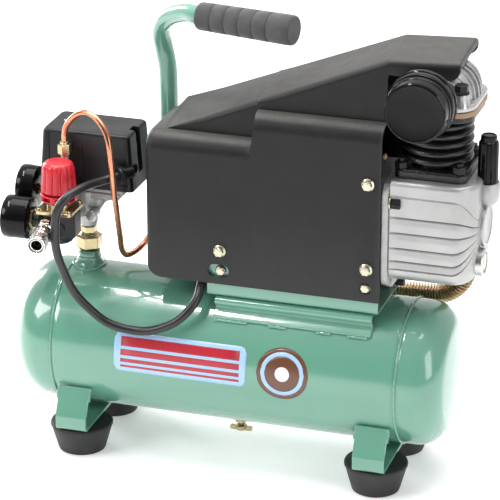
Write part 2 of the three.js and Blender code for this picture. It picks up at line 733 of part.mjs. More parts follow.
// ---------------------------------------------------------------- pressure switch and pipework
// Union between the tank's bung and the manifold: a nut and the nipple that turns with it.
add(
  'union_fitting',
  cut(
    joined([
      hexagon(24, 17, at(PORT_X, 0, TANK_TOP + 17), Z),
      rod(5.2, 20, at(PORT_X, 0, TANK_TOP + 19.4), Z),
    ]),
    [rod(3, 60, at(PORT_X, 0, TANK_TOP), Z, 12)],
  ),
  BRASS,
);

const LEFT = at(-1, 0, 0);

// The cast manifold under the switch: one port down to the tank, one forward to the regulator,
// one to the left for the tank gauge and one to the rear for the safety valve.
function manifold() {
  const base = TANK_TOP + 40;
  return joined([
    turned([[0, base], [9, base], [10, base + 12], [16, base + 30], [16, 270], [0, 270]], at(PORT_X, 0, 0), Z, 16),
    rod(8, 28.5, at(PORT_X - 6, 0, 249), at(-0.15, -1, 0).normalize()),
    rod(5.9, 32, at(PORT_X, TANK_GAUGE[0], 264), LEFT),
    rod(7, 22, at(PORT_X, 0, 254), Y),
  ]);
}
add('manifold', manifold(), CAST_ALUMINIUM);

const SWITCH_BASE_Z = 270 + GAP;
const LEAD_EXIT = at(-115, SWITCH_Y0 - 1.5, 297);
const LEAD_DIRECTION = at(-0.5, -0.866, 0);
add(
  'switch_base',
  joined([
    box(SWITCH_X0 + 6, SWITCH_X1 - 6, SWITCH_Y0 + 5, SWITCH_Y1 - 5, SWITCH_BASE_Z, SWITCH_Z0 + 12),
    box(SWITCH_X0 + 12, SWITCH_X1 - 12, SWITCH_Y0 + 12, SWITCH_Y1 - 12, SWITCH_Z0, SWITCH_Z0 + 30),
    box(UNLOADER[0] - 4, UNLOADER[0] + 4, UNLOADER[1] - 4, 0, SWITCH_BASE_Z, SWITCH_Z0 - GAP),
    rod(4, 40.5, at(...UNLOADER, 272), Z, 12),
  ]),
  BLACK_PLASTIC,
);
// A five-sided cover with draft, open below, with an upright slot in its right wall.
function switchCover() {
  const frustum = (inset, z0, z1) => {
    const draft = 4;
    const hull = new THREE.BoxGeometry(1, 1, 1);
    const position = hull.getAttribute('position');
    for (let i = 0; i < position.count; i += 1) {
      const spread = position.getZ(i) < 0 ? draft - inset : -inset;
      const x = position.getX(i) < 0 ? SWITCH_X0 - spread : SWITCH_X1 + spread;
      const y = position.getY(i) < 0 ? SWITCH_Y0 - spread / 2 : SWITCH_Y1 + spread / 2;
      position.setXYZ(i, x, y, position.getZ(i) < 0 ? z0 : z1);
    }
    return hull;
  };
  const slot = box(SWITCH_X1 - 9, SWITCH_X1 + 10, 8, 16, SWITCH_Z0 + 14, SWITCH_TOP + 5);
  const leadHole = rod(6.6, 30, LEAD_EXIT.clone().addScaledVector(LEAD_DIRECTION, -15), LEAD_DIRECTION);
  return cut(frustum(0, SWITCH_Z0, SWITCH_TOP), [frustum(2.4, SWITCH_Z0 - 1, SWITCH_TOP - 2.4), slot, leadHole]);
}
add('switch_cover', switchCover(), BLACK_PLASTIC);
add(
  'auto_off_lever',
  box(SWITCH_X1 - 22, SWITCH_X1 - 2, 10, 14, SWITCH_Z0 + 37, SWITCH_Z0 + 43),
  RED_PLASTIC,
);

// Ridged gland where the motor lead leaves the switch, turned a little to the left.
add(
  'cable_gland',
  turned(
    [[LEAD_R + GAP, -5], [6.2, -5], [6.2, 6], [9, 7.5], [9, 10], [7.5, 12], [LEAD_R + GAP, 12], [LEAD_R + GAP, -5]],
    LEAD_EXIT, LEAD_DIRECTION, 16,
  ),
  BLACK_RUBBER,
);

// ---------------------------------------------------------------- regulator, gauges and coupler
const [REG_X, REG_Y] = REGULATOR;
const BODY_Z0 = 235;
const BODY_Z1 = 262.5;
const STUB_LENGTH = REG_X - 15 - GAUGE_X - OUTLET_GAUGE_BACK - GAP;
function regulatorBody() {
  const parts = [
    rod(21.5, BODY_Z1 - BODY_Z0, at(0, 0, BODY_Z0), Z, 8).rotateZ(TAU / 16).translate(REG_X, REG_Y, 0),
    rod(6, STUB_LENGTH, at(REG_X - 15, REG_Y, OUTLET_GAUGE[1]), LEFT),
    alongZ(roundedRectangle(REG_X - 19, REG_X + 19, REG_Y - 19, REG_Y + 19, 4), BODY_Z1 - 0.5, BODY_Z1 + 3),
  ];
  return joined(parts);
}
add('regulator_body', regulatorBody(), BLACK_IRON);
add(
  'regulator_bonnet',
  turned(
    [
      [0, 0], [18, 0], [18, 3], [16, 6], [7, 7.5], [7, 18], [0, 18],
    ],
    at(REG_X, REG_Y, BODY_Z1 + 3 + GAP), Z, 20,
  ),
  BLACK_IRON,
);
const LOCK_Z = BODY_Z1 + 3 + GAP + 7.5 + GAP;
add('regulator_lock_ring', ring(18.5, 7.4, 7, at(REG_X, REG_Y, LOCK_Z), Z), RED_PLASTIC);
const KNOB_Z = LOCK_Z + 9.5;
function regulatorKnob() {
  const flutes = [];
  for (let i = 0; i < 12; i += 1) {
    const angle = (i * TAU) / 12;
    flutes.push(rod(1.6, 20, at(18.6 * Math.cos(angle), 18.6 * Math.sin(angle), -1), Z, 5));
  }
  const body = turned(
    [[0, 9], [7.6, 9], [7.6, 0], [18, 0], [16.6, 24], [15, 29], [12, 30.5], [0, 31.5]],
    at(0, 0, 0), Z, 24,
  );
  return cut(body, flutes).translate(REG_X, REG_Y, KNOB_Z);
}
add('regulator_knob', regulatorKnob(), RED_PLASTIC);

// Gauges look to the left. Each case is a cup, and its needle turns over the dial inside it.
function gaugeCase([y, z], back, stemEnd) {
  const cup = turned(
    [
      [0, -back], [GAUGE_R, -back], [GAUGE_R, GAUGE_DEPTH], [GAUGE_R - 2.5, GAUGE_DEPTH],
      [GAUGE_R - 2.5, GAUGE_DEPTH - 7], [0, GAUGE_DEPTH - 7],
    ],
    at(GAUGE_X, y, z), LEFT, 24,
  );
  const spindle = rod(1.2, 3, at(GAUGE_X - GAUGE_DEPTH + 7.5, y, z), LEFT, 8);
  const parts = [cup, spindle];
  if (stemEnd) parts.push(rod(4.5, stemEnd - GAUGE_X, at(GAUGE_X, y, z - 2.5), X));
  return joined(parts);
}
function gaugeNeedle([y, z]) {
  const x = GAUGE_X - GAUGE_DEPTH + 4.6;
  const bar = joined([
    rod(3, 1, at(0, 0, 0), LEFT, 12),
    box(-1, 0, -0.7, 0.7, -6, 15),
  ]);
  return cut(bar, [rod(1.5, 6, at(-3, 0, 0), X, 8)]).rotateX(-0.75 * Math.PI).translate(x, y, z);
}
add('tank_gauge', gaugeCase(TANK_GAUGE, 0, PORT_X - 32 - GAP), BLACK_PLASTIC);
add('outlet_gauge', gaugeCase(OUTLET_GAUGE, OUTLET_GAUGE_BACK), BLACK_PLASTIC);
add('tank_gauge_needle', gaugeNeedle(TANK_GAUGE), RED_PLASTIC);
add('outlet_gauge_needle', gaugeNeedle(OUTLET_GAUGE), RED_PLASTIC);

// Quick coupler: the plug pushes into the bored body, and the sleeve springs back to let it go.
const COUPLER_ROOT = at(-181.5, REG_Y - 22.8, 252);
add(
  'coupler_body',
  turned(
    [
      [0, 0], [8, 0], [8, 10], [7, 11], [7, 44], [6.2, 45], [4.4, 45], [4.4, 20], [0, 20],
    ],
    COUPLER_ROOT, COUPLER_DIRECTION, 16,
  ),
  CHROME,
);
add(
  'coupler_sleeve',
  turned(
    [
      [7.4, 18], [9.2, 18], [9.2, 23], [8.2, 25], [9.4, 28], [8.6, 30],
      [10, 32], [10, 44], [9, 45.3], [7.4, 45.3], [7.4, 18],
    ],
    COUPLER_ROOT, COUPLER_DIRECTION, 20,
  ),
  CHROME,
);

// ---------------------------------------------------------------- safety valve
const SAFETY = at(PORT_X, 22 + GAP, 254);
add(
  'safety_valve_body',
  cut(turned([[0, 0], [7.5, 0], [7.5, 16], [5, 17], [5, 24], [0, 24]], SAFETY, Y, 16), [
    rod(1.9, 30, SAFETY.clone().addScaledVector(Y, 12), Y, 12),
  ]),
  BRASS,
);
add(
  'safety_valve_ring',
  joined([
    rod(1.5, 16, SAFETY.clone().addScaledVector(Y, 14), Y, 12),
    ring(8, 5.8, 2.2, SAFETY.clone().add(at(-1.1, 36, 0)), X, 16),
  ]),
  STEEL,
);

// ---------------------------------------------------------------- motor lead
// From the gland, forward past the regulator, down in front of the tank and up under the shroud.
add(
  'motor_lead',
  tube(
    [
      LEAD_EXIT.toArray(), [-121.4, -29.6, 297], [-126.2, -36.2, 296.6], [-130.5, -42, 296], [-134.7, -49, 296],
      [-139, -58, 296.4], [-143, -71, 296.7],
      [-148, -82, 295.5], [-152.5, -90, 292], [-157, -94.5, 286.5], [-161, -96.5, 276], [-163, -96.5, 262],
      [-163.5, -95, 243.5], [-162, -91, 226], [-159, -87, 212.5], [-153.8, -83.5, 196],
      [-147, -80.5, 183], [-136, -78, 170.5], [-121, -75, 157.5], [-107, -73.5, 152],
      [-94, -72.5, 150], [-81, -72, 150], [-67, -71.5, 153.5], [-47, -69.5, 163.5], [-35, -64, 175],
      [-29.5, -55, 185], [-29, -45, 193], [-28, -37, 203], [-21, -31, 215], [-5, -29, 223],
      [10, -27, 230], [20, -23, 240], [28, -22, 245.6], [BELL_X0 - 1, -22, 246],
    ],
    LEAD_R, 48, 8,
  ),
  BLACK_RUBBER,
);

const footprint = new THREE.Box3().setFromObject(assembly);
const middle = footprint.getCenter(new THREE.Vector3());
assembly.position.set(-middle.x, -middle.y, -footprint.min.z);

export default assembly;
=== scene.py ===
"""Looks for a portable hotdog air compressor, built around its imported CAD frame.

Lengths in this script are millimetres from the middle of the tank at floor level: x runs along the
tank to the pump end, -y to the front and z up. place() turns them into the frame's metres.
"""
import math
import random

import bmesh
import bpy
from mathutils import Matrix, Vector


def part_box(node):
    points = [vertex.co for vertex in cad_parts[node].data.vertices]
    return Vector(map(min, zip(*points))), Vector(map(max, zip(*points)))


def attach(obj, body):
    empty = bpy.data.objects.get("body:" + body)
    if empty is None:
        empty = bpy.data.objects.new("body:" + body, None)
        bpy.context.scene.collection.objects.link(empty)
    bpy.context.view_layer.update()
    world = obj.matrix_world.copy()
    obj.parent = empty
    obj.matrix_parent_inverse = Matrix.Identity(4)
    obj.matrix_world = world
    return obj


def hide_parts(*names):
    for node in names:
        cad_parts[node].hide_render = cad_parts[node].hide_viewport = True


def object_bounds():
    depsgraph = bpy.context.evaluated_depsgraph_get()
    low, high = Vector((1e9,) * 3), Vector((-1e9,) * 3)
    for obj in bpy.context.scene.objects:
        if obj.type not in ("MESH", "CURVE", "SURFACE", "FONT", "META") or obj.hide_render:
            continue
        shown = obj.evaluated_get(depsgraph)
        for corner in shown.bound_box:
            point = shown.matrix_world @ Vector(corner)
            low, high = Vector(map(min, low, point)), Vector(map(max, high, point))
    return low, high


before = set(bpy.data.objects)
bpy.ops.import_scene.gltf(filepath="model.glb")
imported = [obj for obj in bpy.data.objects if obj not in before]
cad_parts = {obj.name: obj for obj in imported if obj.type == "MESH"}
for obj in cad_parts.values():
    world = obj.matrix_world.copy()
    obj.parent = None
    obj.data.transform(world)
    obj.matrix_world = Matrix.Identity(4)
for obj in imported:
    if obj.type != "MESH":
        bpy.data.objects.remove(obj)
CAD_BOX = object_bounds()
MM = 0.001
TAU, QUARTER = 2 * math.pi, math.pi / 2
X, Y, Z = Vector((1, 0, 0)), Vector((0, 1, 0)), Vector((0, 0, 1))
LEFT, FRONT, DOWN = -X, -Y, -Z

tank_low, tank_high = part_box("tank_cylinder")
CENTRE = Vector(((tank_low.x + tank_high.x) / 2, (tank_low.y + tank_high.y) / 2, 0))


def place(point):
    return CENTRE + Vector(point) * MM


def show(made):
    """Puts an object into the scene."""
    bpy.context.scene.collection.objects.link(made)
    return made


# ---------------------------------------------------------------- dimensions shared by several pieces
TANK_R, TANK_Z, SEAM_X = 74, 112, 181
TANK_TOP = TANK_Z + TANK_R
AXIS_Z = 280  # motor and crankshaft
PUMP_X, BORE_R = 202, 21
CASE_X0, CASE_X1, CASE_HALF, CASE_BOTTOM, CASE_TOP = 158.6, 250, 47, 224, 330.5
FILTER = (199, 416.5)  # x and z of the air filter's axis
PORT_Z = 419  # the head's outlet
BREATHER = (252, 0, 324)
PORT_X = -164  # the tank's outlet, under the pressure switch
REGULATOR = (-176.3, -50)
GAUGE_X, OUTLET_BACK = -214, 8
TANK_GAUGE, OUTLET_GAUGE = (-8, 267), (REGULATOR[1], 249)
COUPLER_ROOT = Vector((-181.5, REGULATOR[1] - 22.8, 252))
COUPLER_DIRECTION = Vector((0.14, -0.985, -0.08)).normalized()
UNLOADER = (-178, -26.5)
LEAD_EXIT = Vector((-115, -18.5, 297))
LEAD_DIRECTION = Vector((-0.5, -0.866, 0)).normalized()
LEAD_R = 4.5
GRIP_LEFT, GRIP_RIGHT = Vector((-46, 10.4, 460.4)), Vector((57.5, -8, 460.4))
CHECK_VALVE = (-22, 65, 170)
CHECK_OUT = Vector((0, CHECK_VALVE[1], CHECK_VALVE[2] - TANK_Z)).normalized()
CORNERS = ((-1, -1), (1, -1), (1, 1), (-1, 1))


# ---------------------------------------------------------------- camera
camera = show(bpy.data.objects.new("camera", bpy.data.cameras.new("camera")))
bpy.context.scene.camera = camera
camera.location = place((801.47, -2498.12, 1291.61))
camera.rotation_mode = "QUATERNION"
camera.rotation_quaternion = Vector((-0.27976853, 0.88249525, -0.37806308)).to_track_quat("-Z", "Y")
camera.data.sensor_width = 36
camera.data.lens = 201.66
camera.data.clip_start = 0.05


# ---------------------------------------------------------------- shapes: each returns (points, faces)
def merged(*shapes):
    points, faces = [], []
    for more_points, more_faces in shapes:
        start = len(points)
        points += more_points
        faces += [[start + i for i in face] for face in more_faces]
    return points, faces


def loft(rings, caps=True, closed=True):
    """Skin over rings of equally many points."""
    count = len(rings[0])
    points = [Vector(p) for ring in rings for p in ring]
    faces = []
    for k in range(len(rings) - 1):
        for i in range(count if closed else count - 1):
            j = (i + 1) % count
            faces.append([k * count + i, k * count + j, (k + 1) * count + j, (k + 1) * count + i])
    if caps:
        faces.append(list(range(count))[::-1])
        faces.append([(len(rings) - 1) * count + i for i in range(count)])
    return points, faces


def side_axes(axis):
    """Two unit vectors square to axis and to each other."""
    helper = Z if abs(axis.z) < 0.9 else X
    u = helper.cross(axis).normalized()
    return u, axis.cross(u).normalized()


def circle(centre, axis, radius, sides):
    u, v = side_axes(axis)
    return [centre + u * a + v * b for a, b in arc(0, 0, radius, 0, TAU, sides)[:-1]]


def arc(u, v, radius, start, end, steps):
    """Points round (u, v) from one angle to another, both ends included."""
    angles = [start + (end - start) * k / steps for k in range(steps + 1)]
    return [(u + radius * math.cos(a), v + radius * math.sin(a)) for a in angles]


def turned(profile, origin, axis, sides=48):
    """Solid of revolution from (radius, height) pairs. A profile that ends where it starts makes a ring."""
    origin, axis = Vector(origin), Vector(axis).normalized()
    rings = [circle(origin + axis * h, axis, max(r, 0.01), sides) for r, h in profile]
    return loft(rings, caps=profile[0] != profile[-1])


def rod(radius, length, origin, axis, sides=32):
    return turned([(radius, 0), (radius, length)], origin, axis, sides)


def filleted(corners, closed=True, steps=6):
    """Corners (u, v, radius) joined by straight lines, with each corner rounded."""
    points = []
    last = len(corners) - 1
    for i, (u, v, radius) in enumerate(corners):
        here = Vector((u, v))
        if radius <= 0 or (not closed and i in (0, last)):
            points.append((u, v))
            continue
        back = Vector(corners[i - 1][:2]) - here
        ahead = Vector(corners[(i + 1) % len(corners)][:2]) - here
        half = back.angle(ahead) / 2
        reach = min(radius / math.tan(half), 0.495 * back.length, 0.495 * ahead.length)
        centre = here + (back.normalized() + ahead.normalized()).normalized() * reach / math.cos(half)
        first = here + back.normalized() * reach - centre
        final = here + ahead.normalized() * reach - centre
        a0 = math.atan2(first.y, first.x)
        turn = (math.atan2(final.y, final.x) - a0 + math.pi) % TAU - math.pi
        for k in range(steps + 1):
            angle = a0 + turn * k / steps
            points.append(tuple(centre + Vector((math.cos(angle), math.sin(angle))) * first.length))
    return points


def rounded(u0, u1, v0, v1, radius, steps=8):
    return filleted([(u0, v0, radius), (u1, v0, radius), (u1, v1, radius), (u0, v1, radius)], True, steps)


def along(axis, outline, low, high):
    """Prism of an outline. On x the outline is (y, z), on y it is (x, z) and on z it is (x, y)."""
    def point(u, v, w):
        return {"x": (w, u, v), "y": (u, w, v), "z": (u, v, w)}[axis]

    return loft([[point(u, v, w) for u, v in outline] for w in (low, high)])


def box(x0, x1, y0, y1, z0, z1):
    return along("z", [(x0, y0), (x1, y0), (x1, y1), (x0, y1)], z0, z1)


def sheet(path, thickness):
    """Outline of a bent sheet whose middle follows the path."""
    one, other = [], []
    for i, here in enumerate(path):
        ahead = Vector(path[min(i + 1, len(path) - 1)]) - Vector(path[max(i - 1, 0)])
        normal = Vector((-ahead.y, ahead.x)).normalized() * thickness / 2
        one.append(tuple(Vector(here) + normal))
        other.append(tuple(Vector(here) - normal))
    return one + other[::-1]


def hexagon(flats, length, origin, axis, chamfer=0.8):
    """Hexagonal prism with chamfered ends."""
    outer = flats / math.sqrt(3)
    inner, edge = outer - chamfer, chamfer * 0.6
    return turned([(inner, 0), (outer, edge), (outer, length - edge), (inner, length)], origin, axis, 6)


def route(points, step=2.0):
    """Smooth curve through the points, sampled about every step millimetres."""
    ends = [Vector(p) for p in points]
    ends = [2 * ends[0] - ends[1], *ends, 2 * ends[-1] - ends[-2]]
    found = []
    for a, b, c, d in zip(ends, ends[1:], ends[2:], ends[3:]):
        t1 = max((b - a).length, 1e-6) ** 0.5
        t2 = t1 + (c - b).length ** 0.5
        t3 = t2 + (d - c).length ** 0.5
        count = max(2, math.ceil((c - b).length / step))
        for k in range(count):
            t = t1 + (t2 - t1) * k / count
            near = a.lerp(b, t / t1).lerp(b.lerp(c, (t - t1) / (t2 - t1)), t / t2)
            far = b.lerp(c, (t - t1) / (t2 - t1)).lerp(c.lerp(d, (t - t2) / (t3 - t2)), (t - t1) / (t3 - t1))
            found.append(near.lerp(far, (t - t1) / (t2 - t1)))
    found.append(ends[-2])
    return found


def swept(path, radius, sides=16):
    """Tube along a sampled path. radius is a number, or a function of the distance along it."""
    reach = radius if callable(radius) else (lambda distance: radius)
    tangent = (path[1] - path[0]).normalized()
    u, _ = side_axes(tangent)
    rings, distance = [], 0.0
    for i, here in enumerate(path):
        ahead = (path[min(i + 1, len(path) - 1)] - path[max(i - 1, 0)]).normalized()
        u = (u - ahead * u.dot(ahead)).normalized()
        v = ahead.cross(u)
        if i:
            distance += (here - path[i - 1]).length
        rings.append([here + u * a + v * b for a, b in arc(0, 0, reach(distance), 0, TAU, sides)[:-1]])
    return loft(rings)


# ---------------------------------------------------------------- pieces
def mesh_of(name, shape, join=0.0):
    """A shape's mesh, with its faces turned outwards and points closer than join made one."""
    points, faces = shape
    mesh = bpy.data.meshes.new(name)
    mesh.from_pydata([place(p) for p in points], [], faces)
    draft = bmesh.new()
    draft.from_mesh(mesh)
    if join:
        bmesh.ops.remove_doubles(draft, verts=draft.verts, dist=join)
    bmesh.ops.recalc_face_normals(draft, faces=draft.faces)
    draft.to_mesh(mesh)
    draft.free()
    return mesh


def shade(mesh, sharp):
    mesh.shade_smooth()
    mesh.set_sharp_from_angle(angle=math.radians(sharp))


def round_edges(made, width):
    edge = made.modifiers.new("edges", "BEVEL")
    edge.width = width
    edge.segments = 2
    edge.limit_method = "ANGLE"
    edge.angle_limit = math.radians(32)
    edge.harden_normals = True


def piece(name, shape, look, body="chassis", replaces="", bevel=0.0, sharp=38, wall=0.0):
    """A mesh from a shape, with its look, body and the CAD node that it stands for, if any."""
    mesh = mesh_of(name, shape, 0.01 * MM)
    shade(mesh, sharp)
    mesh.materials.append(look)
    made = show(bpy.data.objects.new(name, mesh))
    if wall:
        skin = made.modifiers.new("wall", "SOLIDIFY")
        skin.thickness = wall * MM
        skin.offset = -1
        skin.use_even_offset = False
    if bevel:
        round_edges(made, bevel * MM)
    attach(made, body)
    if replaces:
        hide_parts(replaces)
    return made


def carve(target, *shapes):
    """Cuts the shapes out of a piece, ahead of its edge rounding."""
    widths = [m.width for m in target.modifiers if m.type == "BEVEL"]
    for held in list(target.modifiers):
        if held.type in ("BEVEL", "WEIGHTED_NORMAL"):
            target.modifiers.remove(held)
    for shape in shapes:
        cutter = show(bpy.data.objects.new("cutter", mesh_of("cutter", shape)))
        hole = target.modifiers.new("hole", "BOOLEAN")
        hole.operation = "DIFFERENCE"
        hole.solver = "EXACT"
        hole.object = cutter
        bpy.context.view_layer.update()
        graph = bpy.context.evaluated_depsgraph_get()
        target.data = bpy.data.meshes.new_from_object(target.evaluated_get(graph))
        target.modifiers.clear()
        bpy.data.objects.remove(cutter)
    shade(target.data, 38)
    for width in widths:
        round_edges(target, width)
    weighted = target.modifiers.new("normals", "WEIGHTED_NORMAL")
    weighted.keep_sharp = True
    weighted.weight = 80


# ---------------------------------------------------------------- materials
class Look:
    """A procedural material built up from object coordinates, which are the frame's metres."""

    def __init__(self, name, color, roughness, metallic=0.0, **settings):
        self.made = bpy.data.materials.new(name)
        self.made.use_nodes = True
        self.nodes, self.links = self.made.node_tree.nodes, self.made.node_tree.links
        self.shader = self.nodes["Principled BSDF"]
        self.shader.inputs["Base Color"].default_value = (*color, 1)
        self.shader.inputs["Roughness"].default_value = roughness
        self.shader.inputs["Metallic"].default_value = metallic
        for key, value in settings.items():
            self.shader.inputs[key.replace("_", " ")].default_value = value
        self.color, self.last_bump = color, None
        self.place = self.node("ShaderNodeTexCoord").outputs["Object"]

    def node(self, kind, **values):
        made = self.nodes.new(kind)
        for key, value in values.items():
            setattr(made, key, value)
        return made

    def stretched(self, scale):
        mapping = self.node("ShaderNodeMapping")
        mapping.inputs["Scale"].default_value = scale
        self.links.new(self.place, mapping.inputs["Vector"])
        return mapping.outputs["Vector"]

    def noise(self, scale, detail=3, stretch=None, roughness=0.55):
        made = self.node("ShaderNodeTexNoise")
        made.inputs["Scale"].default_value = scale
        made.inputs["Detail"].default_value = detail
        made.inputs["Roughness"].default_value = roughness
        self.links.new(self.stretched(stretch) if stretch else self.place, made.inputs["Vector"])
        return made.outputs["Fac"]

    def cells(self, scale):
        made = self.node("ShaderNodeTexVoronoi")
        made.inputs["Scale"].default_value = scale
        self.links.new(self.place, made.inputs["Vector"])
        return made.outputs["Distance"]

    def ranged(self, value, low, high, new_low, new_high):
        made = self.node("ShaderNodeMapRange")
        for key, number in zip(("From Min", "From Max", "To Min", "To Max"), (low, high, new_low, new_high)):
            made.inputs[key].default_value = number
        self.links.new(value, made.inputs["Value"])
        return made.outputs["Result"]

    def edges(self, low=0.52, high=0.6):
        """1 along convex edges and 0 elsewhere."""
        return self.ranged(self.node("ShaderNodeNewGeometry").outputs["Pointiness"], low, high, 0, 1)

    def tint(self, value, color):
        """Mixes the colour so far towards another by value."""
        mix = self.node("ShaderNodeMix", data_type="RGBA")
        source = self.shader.inputs["Base Color"].links
        if source:
            self.links.new(source[0].from_socket, mix.inputs["A"])
        else:
            mix.inputs["A"].default_value = (*self.color, 1)
        mix.inputs["B"].default_value = (*color, 1)
        self.links.new(value, mix.inputs["Factor"])
        self.links.new(mix.outputs["Result"], self.shader.inputs["Base Color"])
        return self

    def mottle(self, scale, low, high):
        """Varies the colour between low and high times itself."""
        fac = self.ranged(self.noise(scale), 0.3, 0.7, 0, 1)
        self.shader.inputs["Base Color"].default_value = (*(c * low for c in self.color), 1)
        self.color = [c * low for c in self.color]
        return self.tint(fac, [c * high / low for c in self.color])

    def uneven(self, scale, low, high):
        """Varies the roughness."""
        value = self.ranged(self.noise(scale), 0.3, 0.7, low, high)
        self.links.new(value, self.shader.inputs["Roughness"])
        return self

    def bump(self, value, depth, strength=1.0):
        """Adds relief of that many millimetres."""
        made = self.node("ShaderNodeBump")
        made.inputs["Distance"].default_value = depth * MM
        made.inputs["Strength"].default_value = strength
        self.links.new(value, made.inputs["Height"])
        if self.last_bump:
            self.links.new(self.last_bump, made.inputs["Normal"])
        self.last_bump = made.outputs["Normal"]
        self.links.new(self.last_bump, self.shader.inputs["Normal"])
        return self


def green_enamel():
    """Sprayed enamel: faint orange peel, dust nibs and slightly thinner colour on sharp edges."""
    look = Look("green_enamel", (0.122, 0.315, 0.228), 0.2, Coat_Weight=0.9, Coat_Roughness=0.05)
    look.mottle(9, 0.97, 1.04)
    look.uneven(40, 0.16, 0.26)
    look.bump(look.noise(320, 2), 0.05, 0.35).bump(look.noise(14, 2), 0.5, 0.1)
    look.tint(look.ranged(look.edges(0.54, 0.64), 0, 1, 0, 0.35), (0.4, 0.66, 0.54))
    return look.made


def moulded_plastic(name, color, grain, depth, rough_low, rough_high, edge=0.25, specular=0.5, dust=0.0):
    """Moulded plastic with a spark-eroded grain, paler edges that are partly rubbed wear and partly a painted
    highlight, and a pale tint on what faces up that is a painted sheen from the light above, speckled like
    dust.
    """
    look = Look(name, color, rough_low, Specular_IOR_Level=specular)
    look.mottle(30, 0.9, 1.08)
    look.uneven(60, rough_low, rough_high)
    look.bump(look.noise(grain, 4, roughness=0.7), depth, 0.7)
    # Paler convex edges: partly rubbed wear, partly a painted highlight along the edges.
    look.tint(look.ranged(look.edges(), 0, 1, 0, edge), [min(1, c * 3 + 0.03) for c in color])
    # The dust amount sets a pale tint on faces that look up: a painted sheen where the top catches the light
    # from above, broken into a dust-like speckle.
    if dust:
        split = look.node("ShaderNodeSeparateXYZ")
        look.links.new(look.node("ShaderNodeNewGeometry").outputs["Normal"], split.inputs["Vector"])
        dust_and_sheen = look.node("ShaderNodeMath", operation="MULTIPLY")
        look.links.new(look.ranged(split.outputs["Z"], 0.6, 1, 0, dust), dust_and_sheen.inputs[0])
        look.links.new(look.ranged(look.noise(900, 3), 0.35, 0.65, 0.35, 1), dust_and_sheen.inputs[1])
        look.tint(dust_and_sheen.outputs["Value"], (0.26, 0.25, 0.225))
    return look.made


def casting(name, color, metallic, rough_low, rough_high, grain, depth, hollow_shade):
    """Cast metal: fine sand texture, broad unevenness and painted shade darkening the hollows."""
    look = Look(name, color, rough_low, metallic)
    look.mottle(22, 0.9, 1.06)
    look.uneven(70, rough_low, rough_high)
    look.bump(look.noise(grain, 4, roughness=0.65), depth, 0.8).bump(look.noise(130, 3), 0.12, 0.5)
    # Painted shade: concave hollows are darkened towards a quarter of the colour, as much as hollow_shade
    # asks.
    hollow = look.ranged(look.node("ShaderNodeNewGeometry").outputs["Pointiness"], 0.49, 0.42, 0, hollow_shade)
    return look.tint(hollow, [c * 0.25 for c in color]).made


def machined(name, color, rough, direction=(400, 30, 30), tarnish=None, metallic=1.0):
    """Turned or drawn metal: fine lines, cloudy roughness and a little tarnish."""
    look = Look(name, color, rough, metallic)
    look.mottle(60, 0.9, 1.06)
    look.uneven(90, rough * 0.8, rough * 1.35)
    look.bump(look.noise(8, 2, direction), 0.03, 0.25)
    if tarnish:
        look.tint(look.ranged(look.noise(45, 4), 0.5, 0.75, 0, 0.5), tarnish)
    return look.made


def rubber(name, color, grain, depth, rough, dust=0.12):
    look = Look(name, color, rough)
    look.mottle(35, 0.85, 1.12)
    look.uneven(50, rough * 0.88, min(1, rough * 1.12))
    look.bump(look.noise(grain, 3), depth, 0.6)
    look.tint(look.ranged(look.noise(20, 4), 0.5, 0.8, 0, dust), (0.22, 0.21, 0.2))
    return look.made


def foam():
    look = Look("foam_grip", (0.045, 0.045, 0.045), 0.85, Sheen_Weight=0.25, Sheen_Roughness=0.5)
    look.mottle(90, 0.75, 1.3)
    look.bump(look.cells(1500), 0.12, 0.5).bump(look.noise(420, 3), 0.2, 0.5)
    return look.made


def printed(name, color):
    look = Look(name, color, 0.32, Coat_Weight=0.3, Coat_Roughness=0.15)
    look.mottle(60, 0.95, 1.03)
    look.bump(look.noise(500, 2), 0.02, 0.3)
    return look.made


def clear(name, color, roughness=0.04):
    look = Look(name, color, roughness, Transmission_Weight=0.92, IOR=1.46)
    look.bump(look.noise(60, 2), 0.02, 0.15)
    return look.made


GREEN = green_enamel()
# The shroud's last number, 0.3, is its pale tint on faces that look up: a painted sheen with a dust speckle.
SHROUD = moulded_plastic("shroud_grain", (0.009, 0.009, 0.0092), 900, 0.25, 0.38, 0.5, 0.3, 0.3, 0.3)
COVER = moulded_plastic("switch_plastic", (0.009, 0.009, 0.01), 1100, 0.12, 0.28, 0.4, 0.2, 0.3)
GLOSS = moulded_plastic("filter_plastic", (0.004, 0.004, 0.0045), 500, 0.02, 0.1, 0.18, 0.1, 0.2)
RED = moulded_plastic("red_plastic", (0.55, 0.018, 0.03), 900, 0.05, 0.25, 0.38, 0.05)
RUBBER = rubber("foot_rubber", (0.011, 0.011, 0.011), 900, 0.12, 0.6, 0.08)
LEAD = rubber("lead_rubber", (0.012, 0.012, 0.013), 500, 0.05, 0.36, 0.05)
FOAM = foam()
CAST = casting("cast_aluminium", (0.43, 0.43, 0.427), 0.6, 0.3, 0.48, 700, 0.3, 0.8)
HEAD_CAST = casting("head_aluminium", (0.46, 0.46, 0.455), 0.7, 0.24, 0.4, 1000, 0.16, 0.9)
ROUGH_CAST = casting("rough_cast_edge", (0.42, 0.42, 0.415), 0.5, 0.4, 0.65, 260, 1.1, 1.8)
GREY_CAST = casting("grey_die_casting", (0.46, 0.46, 0.45), 0.55, 0.4, 0.6, 420, 0.4, 0.7)
IRON = casting("black_iron", (0.012, 0.012, 0.013), 0.1, 0.22, 0.4, 700, 0.25, 0.2)
STEEL = machined("plain_steel", (0.55, 0.55, 0.54), 0.3)
CHROME = machined("chrome_plate", (0.62, 0.61, 0.58), 0.09)
BRASS = machined("machined_brass", (0.5, 0.42, 0.25), 0.26, tarnish=(0.45, 0.35, 0.19))
ZINC = machined("yellow_zinc", (0.58, 0.55, 0.42), 0.24, tarnish=(0.42, 0.38, 0.3))
